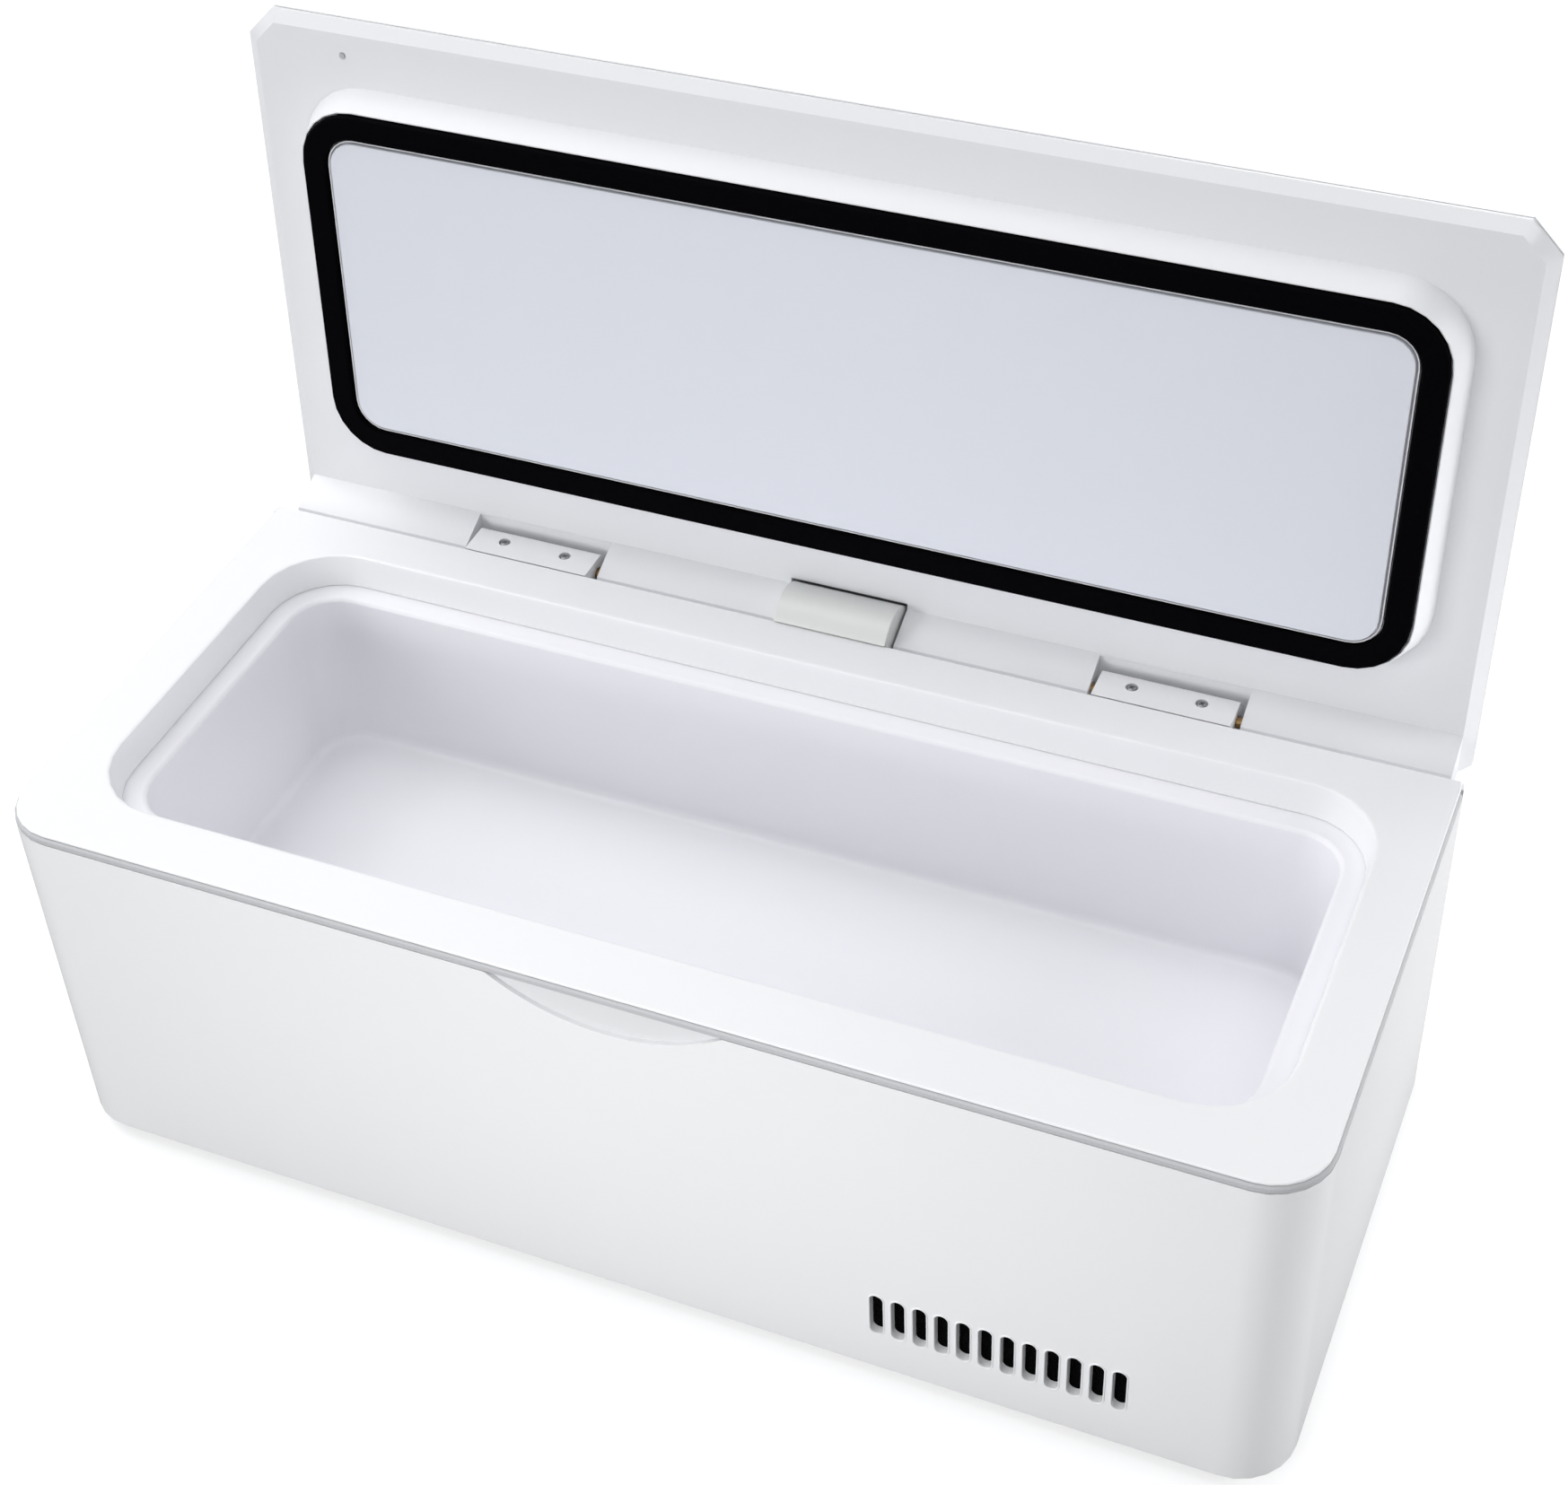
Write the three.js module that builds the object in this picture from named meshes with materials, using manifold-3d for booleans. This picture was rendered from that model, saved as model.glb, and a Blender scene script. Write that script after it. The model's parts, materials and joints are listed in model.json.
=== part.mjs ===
// Insulin cooling case: a white hinged box with a chilled inner tray, standing with its lid open.
// Millimetres. X runs along the case, Y from front to back, Z up from the surface it stands on.
import * as THREE from "three";
import { mergeVertices } from "three/addons/utils/BufferGeometryUtils.js";
import Module from "manifold-3d";

const wasm = await Module();
wasm.setup();

// Fits
const FIT = 0.3; // gap between pieces that are seated on each other
const PAST = 1; // how far a cutting body runs past the wall it cuts

// Case body
const CASE_WIDTH = 220;
const CASE_DEPTH = 100;
const CASE_HEIGHT = 71; // underside to deck
const CASE_CORNER = 10;
const BODY_WALL = 2.4;
const DECK_THICKNESS = 1.6;
const DECK_LIP_DEPTH = 4; // locating lip of the deck inside the body walls
const DECK_LIP_WALL = 1.6;
const MOUTH_EDGE = 0.8; // rounding of the deck round the mouth
const DECK_RIM = 0.4; // deck where it covers the body walls
const DECK_RIM_EDGE = 0.25; // rounding of the deck's outer edge
const DECK_INSET = 0.45; // deck's edge behind the body walls
const STRIP_HEIGHT = 1.2; // grey strip between the deck's rim and the body walls
const STRIP_INSET = 0.05; // strip behind the body walls
const STRIP_CHAMFER = 0.35; // along the strip's upper edge
const SEAM_FIT = 0.1; // between pieces that are set tight together
const FOOT_EDGE = 0.8; // bevel along the body's lower edge
const FOOT_HEIGHT = 2;
const FOOT_RADIUS = 6;
const FOOT_POCKET = 1;
const FOOT_INSET = 15; // foot centre from the case's side, front and back
const BASE_THICKNESS = 2.8;
const BASE_RECESS = 0.4; // base plate sits this far up inside the walls
const SHOULDER_WIDTH = 1.8;
const SHOULDER_HEIGHT = 2.2;

// Mouth of the case and the stepped recess that the lid's plug drops into
const SIDE_MARGIN = 9.8;
const FRONT_MARGIN = 11.5;
const REAR_MARGIN = 17.1;
const MOUTH_CORNER = 13;
const RECESS_DEPTH = 6;
const RECESS_TAPER = 0.9;
const RECESS_WALL = 1.6;

// Inner tray
const LEDGE_WIDTH = 4;
const FLANGE_THICKNESS = 1.8;
const CAVITY_DRAFT = 0.8;
const CAVITY_FILLET = 2; // tray floor to its walls
const LEDGE_EDGE = 0.8; // rounding where the ledge turns down into the tray
const LINER_WALL = 1.5;
const FOAM_MARGIN = 2; // foam to the inside of the body walls
const FOAM_CORNER = 12;

// Hinge
const AXIS_INSET = 3; // hinge axis in front of the case's back
const AXIS_BELOW_DECK = 3.1;
const OPEN_ANGLE = 93.9;
const LIP_ANGLE = 150; // lower edge of the open lid's band, round the axis from the case's back
const BEAD_RADIUS = 3.1; // rolled rear edge of the lid
const TROUGH_GAP = 0.6; // trough of the deck to the lid's bead
const TROUGH_FLOOR = 1.6;
const HINGE_X = 59;
const BLOCK_WIDTH = 24;
const BLOCK_CLEARANCE = 0.34; // rounded back of a block to the lid that turns round it
const NOTCH_GAP = 1.2; // lid notch to the hinge block, at each end
const PIN_RADIUS = 1;
const PIN_REACH = 3.4; // pin into the block and into the lid's bead
const SCREW_SPACING = 12.1;
const SCREW_AHEAD = 0.9; // hinge screws in front of the hinge axis
const SCREW_HEAD_RADIUS = 0.8;
const SCREW_SHANK_RADIUS = 0.5;
const SCREW_HEAD_HEIGHT = 0.8;
const DRUM_RADIUS = 6.6;
const DRUM_WIDTH = 20.8;
const DRUM_GAP = 0.45;

// Lid
const LID_GAP = 0.64; // closed lid above the deck
const LID_SIDE_INSET = 0.75;
const LID_FRONT_INSET = 1;
const LID_CORNER_CUT = 5;
const LID_REAR_CUT = 1.5;
const CUT_SHRINK = 0.7; // largest share of a cut corner that an inset takes away
const LID_BEVEL_WIDTH = 2;
const LID_BEVEL_DEPTH = 1.4;
const LID_PLATE = 2;
const LID_RISE = 14; // inner face to the top of the lid
const LID_SLOPE = 16; // how far the lid's sides draw in towards its top
// Side of the lid from its rim to its top, as shares of the slope and of the rise
const LID_PROFILE = [[0, 0], [0, 0.03], [0.34, 0.58], [0.5, 0.79], [0.72, 0.94], [1, 1]];
const LID_WALL = 2;
const BAND_WIDTH = 4.8; // bevelled band in front of the hinge axis
const SEAL_GAP = 0.54; // closed gasket above the ledge, before it is pressed down
const PLUG_GAP = 0.6;
const PLUG_TAPER = 2;
const PLUG_SKIN = 2.3;
const PLUG_RIM = 9; // solid rim of the plug round its foam
const GASKET_EDGE = 0.5;
const GASKET_BAND = 4.3;
const GASKET_SEAT = 1.2;
const GASKET_PROUD = 0.8;
const PANEL_THICKNESS = 0.8;
const LID_FOAM_RISE = 1.5;
const PIP_RADIUS = 0.5;
const PIP_HEIGHT = 0.25;
const PIP_FROM_SIDE = 18.55;
const PIP_FROM_FRONT = 5.8;

// Display and buttons on the lid's top
const WINDOW_WIDTH = 52;
const WINDOW_DEPTH = 22;
const WINDOW_CORNER = 3;
const WINDOW_LIP = 1.2; // display module past the window on each side
const DISPLAY_THICKNESS = 3.2;
const LID_BOARD_THICKNESS = 1.2;
const LID_BOARD_MARGIN = 12;
const LID_BOARD_BOSS = 3;
const BUTTON_X = 40;
const BUTTON_RADIUS = 4;
const BUTTON_GAP = 0.35;
const BUTTON_PROUD = 0.9;
const BUTTON_TRAVEL = 0.6;
const BUTTON_FLANGE = 0.9;
const BUTTON_FLANGE_HEIGHT = 1;
const BUTTON_STEM_RADIUS = 1.5;

// Vents
const SLOT_COUNT = 12;
const SLOT_WIDTH = 2.2;
const SLOT_HEIGHT = 9.5;
const SLOT_PITCH = 3.64;
const SLOT_RISE = 14.4; // slot centres above the underside
const COOLER_FROM_SIDE = 46.5; // middle of the cooling stack and vents from the case's right side
const FILTER_THICKNESS = 0.9; // filter mats seated behind the slots
const FILTER_MARGIN = 2; // filter mats past the slots
const FILTER_CORNER = 1.5;
const FILTER_FIT = 0.1;
const GRILLE_SLOT = 3;
const GRILLE_PITCH = 5.2;
const GRILLE_RADIUS = 17.5;

// Finger scoop under the front edge
const SCOOP_WIDTH = 39.6;
const SCOOP_HEIGHT = 6.4;
const SCOOP_DEPTH = 0.75;

// Cooling stack
const COLD_PLATE_WIDTH = 60;
const COLD_PLATE_DEPTH = 48;
const COLD_PLATE_THICKNESS = 2.6;
const COLD_PLATE_CORNER = 2;
const PELTIER_SIDE = 40;
const PELTIER_THICKNESS = 3.4;
const PELTIER_CORNER = 0.3;
const SINK_WIDTH = 44;
const SINK_DEPTH = 62;
const SINK_BASE = 2.6;
const FIN_COUNT = 9;
const FIN_HEIGHT = 10.2;
const FIN_THICKNESS = 1.6;
const FAN_SIDE = 40;
const FAN_HEIGHT = 8;
const FAN_BORE = 18.6;
const FAN_HUB = 9;
const FAN_BLADES = 7;
const FAN_STRUT = 2;
const FAN_TIP_GAP = 0.7;
const FAN_SHAFT_RADIUS = 1.2;
const BLADE_PITCH = 35;
const BLADE_THICKNESS = 1.2;

// Electronics
const CELL_RADIUS = 9.2;
const CELL_LENGTH = 65;
const CELL_GAP = 1;
const CELL_NUB_RADIUS = 3;
const BATTERY_MARGIN = 11.2; // battery holder to the inside of the left wall
const HOLDER_WALL = 1.6;
const HOLDER_SIDE = 9;
const BOARD_GAP = 4.6; // control board to the battery holder
const BOARD_WIDTH = 42;
const BOARD_DEPTH = 52;
const BOARD_THICKNESS = 1.6;
const BOARD_POST_RADIUS = 2.5;
const BOARD_POST_HEIGHT = 5;
const BOARD_POST_INSET = 5;
const JACK_OFFSET = 10; // power socket from the middle of the control board
const JACK_WIDTH = 9;
const JACK_DEPTH = 11;
const JACK_HEIGHT = 10;
const JACK_NOSE_RADIUS = 3.8;
const JACK_BORE_RADIUS = 2.75;
const JACK_PIN_RADIUS = 1;

// Base screws
const BASE_BOSS_RADIUS = 4.2;
const BASE_BOSS_HEIGHT = 14;
const BASE_BOSS_INSET = 7.6;
const BASE_RIB = 2; // rib that ties each boss to the side wall
const BASE_SCREW_HEAD = 2.7;
const BASE_SCREW_HEAD_HEIGHT = 1.5;
const BASE_SCREW_SHANK = 1.4;
const BASE_SCREW_LENGTH = 9;

// Finishes
const CASE_WHITE = { color: 0xeff0f3, roughness: 0.35 };
const TRAY_WHITE = { color: 0xdddde8, roughness: 0.42 };
const HINGE_WHITE = { color: 0xe9e8ee, roughness: 0.4 };
const DRUM_GREY = { color: 0xe6e8e4, roughness: 0.4 };
const PANEL_GREY = { color: 0xd2d5e0, roughness: 0.35 };
const BUTTON_GREY = { color: 0xd9dbe0, roughness: 0.4 };
const BASE_WHITE = { color: 0xe6e6e8, roughness: 0.5 };
const CERAMIC = { color: 0xf0f0ec, roughness: 0.6 };
const FOAM = { color: 0xe9e4d4, roughness: 0.95 };
const STRIP_GREY = { color: 0xbcbdc2, roughness: 0.6 };
const RUBBER = { color: 0x0b0b0d, roughness: 0.8 };
const FILTER_BLACK = { color: 0x08080a, roughness: 0.95 };
const BLACK_PLASTIC = { color: 0x141416, roughness: 0.5 };
const LENS = { color: 0x101418, roughness: 0.08 };
const DISPLAY_GLASS = { color: 0x6f7f6a, roughness: 0.4 };
const CELL_WRAP = { color: 0x2f6fa8, roughness: 0.4 };
const BOARD_GREEN = { color: 0x1f6b45, roughness: 0.5 };
const ALUMINIUM = { color: 0xc4c7ca, roughness: 0.38, metalness: 1 };
const STEEL = { color: 0xb9bcc0, roughness: 0.35, metalness: 1 };
const BRASS = { color: 0xb08d4a, roughness: 0.35, metalness: 1 };

// Facets
const CORNER_STEPS = 6;
const ROUND_STEPS = 24;
const SMALL_STEPS = 12;
const EDGE_STEPS = 2;
const SLOT_STEPS = 8;
const SCOOP_STEPS = 96;

// Places worked out from the sizes above
const underside = FOOT_HEIGHT;
const deckTop = underside + CASE_HEIGHT;
const deckUnder = deckTop - DECK_THICKNESS;
const rimUnder = deckTop - DECK_RIM;
const stripTop = rimUnder - SEAM_FIT;
const stripUnder = stripTop - STRIP_HEIGHT;
const shellTop = stripUnder - SEAM_FIT;
const baseUnder = underside + BASE_RECESS;
const baseTop = baseUnder + BASE_THICKNESS;
const halfWidth = CASE_WIDTH / 2;
const halfDepth = CASE_DEPTH / 2;
const insideX = halfWidth - BODY_WALL;
const insideY = halfDepth - BODY_WALL;
const mouthX = halfWidth - SIDE_MARGIN;
const mouthY = (CASE_DEPTH - FRONT_MARGIN - REAR_MARGIN) / 2;
const mouthMiddle = (FRONT_MARGIN - REAR_MARGIN) / 2;
const ledgeTop = deckTop - RECESS_DEPTH;
const cavityX = mouthX - RECESS_TAPER - LEDGE_WIDTH;
const cavityY = mouthY - RECESS_TAPER - LEDGE_WIDTH;
const cavityCorner = MOUTH_CORNER - RECESS_TAPER - LEDGE_WIDTH;
const flangeX = mouthX - RECESS_TAPER + RECESS_WALL;
const flangeY = mouthY - RECESS_TAPER + RECESS_WALL;
const axisY = halfDepth - AXIS_INSET;
const axisZ = deckTop - AXIS_BELOW_DECK;
const screwY = axisY - SCREW_AHEAD;
const faceRise = AXIS_BELOW_DECK + LID_GAP; // closed inner face of the lid above the hinge axis
const plugDepth = RECESS_DEPTH + LID_GAP - GASKET_PROUD - SEAL_GAP;

// Vent slots and the filter mats behind them
const coolerX = halfWidth - COOLER_FROM_SIDE;
const slotMiddle = underside + SLOT_RISE;
const slotPlaces = Array.from({ length: SLOT_COUNT }, (_, slot) =>
  coolerX + (slot - (SLOT_COUNT - 1) / 2) * SLOT_PITCH,
);
const filterX = ((SLOT_COUNT - 1) * SLOT_PITCH + SLOT_WIDTH) / 2 + FILTER_MARGIN;
const filterZ = SLOT_HEIGHT / 2 + FILTER_MARGIN;

// Cooling stack from the base plate up: fan, heat sink, cooler module, cold plate, tray
const fanUnder = baseTop + FIT;
const fanTop = fanUnder + FAN_HEIGHT;
const fanStrutTop = fanUnder + FAN_STRUT;
const rotorUnder = fanStrutTop + FIT;
const finUnder = fanTop + FIT;
const finTop = finUnder + FIN_HEIGHT;
const sinkTop = finTop + SINK_BASE;
const peltierUnder = sinkTop + FIT;
const peltierTop = peltierUnder + PELTIER_THICKNESS;
const coldUnder = peltierTop + FIT;
const coldTop = coldUnder + COLD_PLATE_THICKNESS;
const linerUnder = coldTop + FIT;
const cavityFloor = linerUnder + LINER_WALL;

// Battery, control board and power socket, one beside the other along the base plate
const holderX = CELL_LENGTH / 2 + FIT + HOLDER_WALL;
const batteryX = -insideX + BATTERY_MARGIN + holderX;
const cellZ = baseTop + FIT + HOLDER_WALL + FIT + CELL_RADIUS;
const cellOffset = CELL_RADIUS + CELL_GAP / 2;
const holderY = cellOffset + CELL_RADIUS + FIT + HOLDER_WALL;
const boardX = batteryX + holderX + BOARD_GAP + BOARD_WIDTH / 2;
const postTop = baseTop + BOARD_POST_HEIGHT;
const boardUnder = postTop + FIT;
const boardTop = boardUnder + BOARD_THICKNESS;
const boardBack = insideY - SHOULDER_WIDTH - FIT;
const boardFront = boardBack - BOARD_DEPTH;
const jackX = boardX + JACK_OFFSET;
const jackUnder = boardTop + FIT;
const jackZ = jackUnder + JACK_HEIGHT / 2;

// Places that repeat at the corners and at the hinges
const signs = [[-1, -1], [1, -1], [-1, 1], [1, 1]];
const corners = ["front_left", "front_right", "rear_left", "rear_right"];
const bossX = insideX - BASE_BOSS_INSET;
const bossY = insideY - BASE_BOSS_INSET;
const footX = halfWidth - FOOT_INSET - FOOT_RADIUS;
const footY = halfDepth - FOOT_INSET;
const basePoints = signs.map(([x, y]) => [x * bossX, y * bossY]);
const footPoints = signs.map(([x, y]) => [x * footX, y * footY]);
const boardPosts = signs.map(([x, y]) => [
  boardX + x * (BOARD_WIDTH / 2 - BOARD_POST_INSET),
  (boardFront + boardBack) / 2 + y * (BOARD_DEPTH / 2 - BOARD_POST_INSET),
]);
const blockScrews = [-1, 1].flatMap((side) =>
  [-1, 1].map((end) => [side * HINGE_X + (end * SCREW_SPACING) / 2, side, end]),
);

// Solids for joining and cutting
function solid(geometry) {
  const bare = geometry.clone();
  bare.deleteAttribute("normal");
  bare.deleteAttribute("uv");
  const merged = mergeVertices(bare, 1e-5);
  const vertProperties = new Float32Array(merged.attributes.position.array);
  const triVerts = new Uint32Array(merged.index.array);
  return new wasm.Manifold(new wasm.Mesh({ numProp: 3, vertProperties, triVerts }));
}

function surface(body) {
  const mesh = body.getMesh();
  const geometry = new THREE.BufferGeometry();
  geometry.setAttribute("position", new THREE.BufferAttribute(new Float32Array(mesh.vertProperties), 3));
  geometry.setIndex(new THREE.BufferAttribute(new Uint32Array(mesh.triVerts), 1));
  geometry.computeVertexNormals();
  return geometry;
}

const join = (bodies) => bodies.reduce((whole, body) => whole.add(body));
const cut = (body, tools) => tools.reduce((left, tool) => left.subtract(tool), body);

// Outline of a rounded rectangle round a middle point, counterclockwise
function roundedOutline(halfX, halfY, radius, middleX = 0, middleY = 0) {
  const points = [];
  const corners = [[1, -1, -90], [1, 1, 0], [-1, 1, 90], [-1, -1, 180]];
  for (const [signX, signY, start] of corners) {
    for (let step = 0; step <= CORNER_STEPS; step += 1) {
      const angle = THREE.MathUtils.degToRad(start + (90 * step) / CORNER_STEPS);
      const x = middleX + signX * (halfX - radius) + radius * Math.cos(angle);
      const y = middleY + signY * (halfY - radius) + radius * Math.sin(angle);
      points.push(new THREE.Vector2(x, y));
    }
  }
  return points;
}

// Closed body through a stack of outlines with equal counts of points
function loft(rings) {
  const count = rings[0].outline.length;
  const positions = [];
  const index = [];
  for (const { outline, z } of rings) {
    outline.forEach((point) => positions.push(point.x, point.y, z));
  }
  for (let ring = 0; ring + 1 < rings.length; ring += 1) {
    for (let point = 0; point < count; point += 1) {
      const a = ring * count + point;
      const b = ring * count + ((point + 1) % count);
      index.push(a, b, b + count, a, b + count, a + count);
    }
  }
  const top = (rings.length - 1) * count;
  for (const [a, b, c] of THREE.ShapeUtils.triangulateShape(rings[0].outline, [])) {
    index.push(c, b, a);
  }
  for (const [a, b, c] of THREE.ShapeUtils.triangulateShape(rings.at(-1).outline, [])) {
    index.push(top + a, top + b, top + c);
  }
  const geometry = new THREE.BufferGeometry();
  geometry.setAttribute("position", new THREE.Float32BufferAttribute(positions, 3));
  geometry.setIndex(index);
  return solid(geometry);
}

// Quarter round in equal steps: how far in from the side and how far up each ring lies
const quarterRound = (radius) =>
  Array.from({ length: EDGE_STEPS + 1 }, (_, step) => {
    const angle = (Math.PI / 2) * (step / EDGE_STEPS);
    return { inward: radius * (1 - Math.cos(angle)), upward: radius * Math.sin(angle) };
  });

const slab = (outline, low, high) => loft([{ outline, z: low }, { outline, z: high }]);

function box(lowX, highX, lowY, highY, lowZ, highZ) {
  const geometry = new THREE.BoxGeometry(highX - lowX, highY - lowY, highZ - lowZ);
  geometry.translate((lowX + highX) / 2, (lowY + highY) / 2, (lowZ + highZ) / 2);
  return solid(geometry);
}

function extrude(section, length) {
  return new THREE.ExtrudeGeometry(new THREE.Shape(section), { depth: length, bevelEnabled: false });
}

// Prism along X from a section of (y, z) points
function prismX(section, lowX, highX) {
  const geometry = extrude(section, highX - lowX);
  const turn = new THREE.Matrix4();
  turn.makeBasis(new THREE.Vector3(0, 1, 0), new THREE.Vector3(0, 0, 1), new THREE.Vector3(1, 0, 0));
  geometry.applyMatrix4(turn);
  geometry.translate(lowX, 0, 0);
  return solid(geometry);
}

// Prism along Y from a section of (x, z) points
function prismY(section, lowY, highY) {
  const geometry = extrude(section, highY - lowY);
  geometry.rotateX(Math.PI / 2);
  geometry.translate(0, highY, 0);
  return solid(geometry);
}

function rodZ(radius, x, y, low, high, steps = ROUND_STEPS) {
  const geometry = new THREE.CylinderGeometry(radius, radius, high - low, steps);
  geometry.rotateX(Math.PI / 2);
  geometry.translate(x, y, (low + high) / 2);
  return solid(geometry);
}

function rodX(radius, low, high, y, z, steps = ROUND_STEPS) {
  const geometry = new THREE.CylinderGeometry(radius, radius, high - low, steps);
  geometry.rotateZ(Math.PI / 2);
  geometry.translate((low + high) / 2, y, z);
  return solid(geometry);
}

function rodY(radius, x, low, high, z, steps = ROUND_STEPS) {
  const geometry = new THREE.CylinderGeometry(radius, radius, high - low, steps);
  geometry.translate(x, (low + high) / 2, z);
  return solid(geometry);
}

const at = (y, z) => new THREE.Vector2(y, z);

// Arc of points round a centre, from one angle to another in degrees
function arc(centre, radius, from, to, steps) {
  return Array.from({ length: steps + 1 }, (_, step) => {
    const angle = THREE.MathUtils.degToRad(from + ((to - from) * step) / steps);
    return at(centre.x + radius * Math.cos(angle), centre.y + radius * Math.sin(angle));
  });
}

// Groups: what stands still, and the lid that turns about its hinge axis
const coolingCase = new THREE.Group();
const lid = new THREE.Group();
lid.position.set(0, axisY, axisZ);
lid.rotation.x = -THREE.MathUtils.degToRad(OPEN_ANGLE);
coolingCase.add(lid);

function piece(group, name, body, finish) {
  const mesh = new THREE.Mesh(surface(body), new THREE.MeshStandardMaterial(finish));
  mesh.name = name;
  group.add(mesh);
}

// Lid profile at the hinge, in the closed lid's own frame: the hinge axis is the origin,
// the inner face lies faceRise above it and the band slopes from that face to the bead.
const hingeOrigin = at(0, 0);
const bandTop = at(-BAND_WIDTH, faceRise);
const bandReach = Math.hypot(BAND_WIDTH, faceRise);
const bandAngle = 180 - THREE.MathUtils.radToDeg(Math.atan2(faceRise, BAND_WIDTH));
const bandTangent = bandAngle + THREE.MathUtils.radToDeg(Math.acos(BEAD_RADIUS / bandReach));

// The deck's trough follows the closed lid's band and bead at a set gap
const troughRadius = BEAD_RADIUS + TROUGH_GAP;
const troughShift = TROUGH_GAP / Math.cos(THREE.MathUtils.degToRad(bandTangent - 180));
const bandSlope = BAND_WIDTH - BEAD_RADIUS / Math.cos(THREE.MathUtils.degToRad(bandTangent - 180));
const bandLean = bandSlope / faceRise; // how far the band runs back per millimetre of drop
const troughFace = (drop) => axisY - BAND_WIDTH - troughShift + bandLean * (drop + LID_GAP);
const troughFloorZ = axisZ - troughRadius;
const troughUnder = troughFloorZ - TROUGH_FLOOR;
const troughEdge = at(troughFace(0), deckTop);
const troughKnee = at(troughFace(AXIS_BELOW_DECK), axisZ);
const troughFoot = at(axisY - troughRadius * Math.cos(Math.PI / 4), troughFloorZ);

// Room behind the mouth for the deck's trough, cut out of the walls and of the strip on them
function troughRoom() {
  const sheet = TROUGH_FLOOR + FIT;
  return prismX(
    [
      at(troughEdge.x - sheet - FIT, shellTop),
      at(troughKnee.x - sheet - FIT, troughKnee.y),
      at(troughFoot.x - sheet, troughFloorZ - sheet),
      at(halfDepth + PAST, troughFloorZ - sheet),
      at(halfDepth + PAST, deckTop + PAST),
      at(troughEdge.x - sheet - FIT, deckTop + PAST),
    ],
    -halfWidth - PAST,
    halfWidth + PAST,
  );
}

// Outline of the case, drawn in evenly by an inset
const caseOutline = (inset) =>
  roundedOutline(halfWidth - inset, halfDepth - inset, CASE_CORNER - inset);

function bodyShell() {
  const block = loft([
    { outline: caseOutline(FOOT_EDGE), z: underside },
    { outline: caseOutline(0), z: underside + FOOT_EDGE },
    { outline: caseOutline(0), z: shellTop },
  ]);
  const inside = roundedOutline(insideX, insideY, CASE_CORNER - BODY_WALL);
  const shoulderX = insideX - SHOULDER_WIDTH;
  const shoulderY = insideY - SHOULDER_WIDTH;
  const throat = roundedOutline(shoulderX, shoulderY, CASE_CORNER - BODY_WALL);
  const shoulderLow = baseTop + FIT;
  const shoulderHigh = shoulderLow + SHOULDER_HEIGHT;
  const walls = cut(block, [
    slab(inside, underside - PAST, shoulderLow),
    slab(throat, underside, shoulderHigh + PAST),
    slab(inside, shoulderHigh, shellTop + PAST),
  ]);
  const bosses = basePoints.map(([x, y]) =>
    rodZ(BASE_BOSS_RADIUS, x, y, shoulderLow, shoulderLow + BASE_BOSS_HEIGHT, SMALL_STEPS),
  );
  const ribs = signs.map(([x, y]) => {
    const ends = [x * bossX, x * (insideX + FIT)];
    const middle = y * bossY;
    return box(
      Math.min(...ends),
      Math.max(...ends),
      middle - BASE_RIB / 2,
      middle + BASE_RIB / 2,
      shoulderLow,
      shoulderLow + BASE_BOSS_HEIGHT,
    );
  });
  const pilots = basePoints.map(([x, y]) =>
    rodZ(BASE_SCREW_SHANK + FIT, x, y, shoulderLow - PAST, shoulderLow + BASE_SCREW_LENGTH, SMALL_STEPS),
  );
  const slotBody = (x, low, high) => {
    const half = SLOT_WIDTH / 2;
    const straight = SLOT_HEIGHT / 2 - half;
    const ends = [
      ...arc(at(x, slotMiddle + straight), half, 0, 180, SLOT_STEPS),
      ...arc(at(x, slotMiddle - straight), half, 180, 360, SLOT_STEPS),
    ];
    return prismY(ends, low, high);
  };
  const slots = slotPlaces.flatMap((x) => [
    slotBody(x, -halfDepth - PAST, -insideY + PAST),
    slotBody(x, insideY - PAST, halfDepth + PAST),
  ]);
  const seatOutline = filterOutline(FIT);
  const filterSeat = FILTER_THICKNESS + FILTER_FIT;
  const seats = [
    prismY(seatOutline, -insideY - filterSeat, -insideY + PAST),
    prismY(seatOutline, insideY - PAST, insideY + filterSeat),
  ];
  const jackHole = rodY(JACK_NOSE_RADIUS + FIT, jackX, insideY - PAST, halfDepth + PAST, jackZ);
  const tools = [troughRoom(), ...pilots, ...slots, ...seats, jackHole, fingerScoop()];
  return cut(join([walls, ...bosses, ...ribs]), tools);
}

// Mat over all the slots of one wall, as (x, z) points
const filterOutline = (grow) =>
  roundedOutline(filterX + grow, filterZ + grow, FILTER_CORNER + grow, coolerX, slotMiddle);

// Shallow recess under the deck with an arc for its lower edge
function fingerScoop() {
  const halfChord = SCOOP_WIDTH / 2;
  const radius = (halfChord ** 2 + SCOOP_HEIGHT ** 2) / (2 * SCOOP_HEIGHT);
  const middle = shellTop - SCOOP_HEIGHT + radius;
  return rodY(radius, 0, -halfDepth - PAST, -halfDepth + SCOOP_DEPTH, middle, SCOOP_STEPS);
}

// Strip on top of the walls, along the front and both sides
function deckStrip() {
  const band = loft([
    { outline: caseOutline(STRIP_INSET), z: stripUnder },
    { outline: caseOutline(STRIP_INSET), z: stripTop - STRIP_CHAMFER },
    { outline: caseOutline(STRIP_INSET + STRIP_CHAMFER), z: stripTop },
  ]);
  const inside = roundedOutline(insideX, insideY, CASE_CORNER - BODY_WALL);
  const hole = slab(inside, stripUnder - PAST, stripTop + PAST);
  return cut(band, [hole, troughRoom()]);
}

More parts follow.
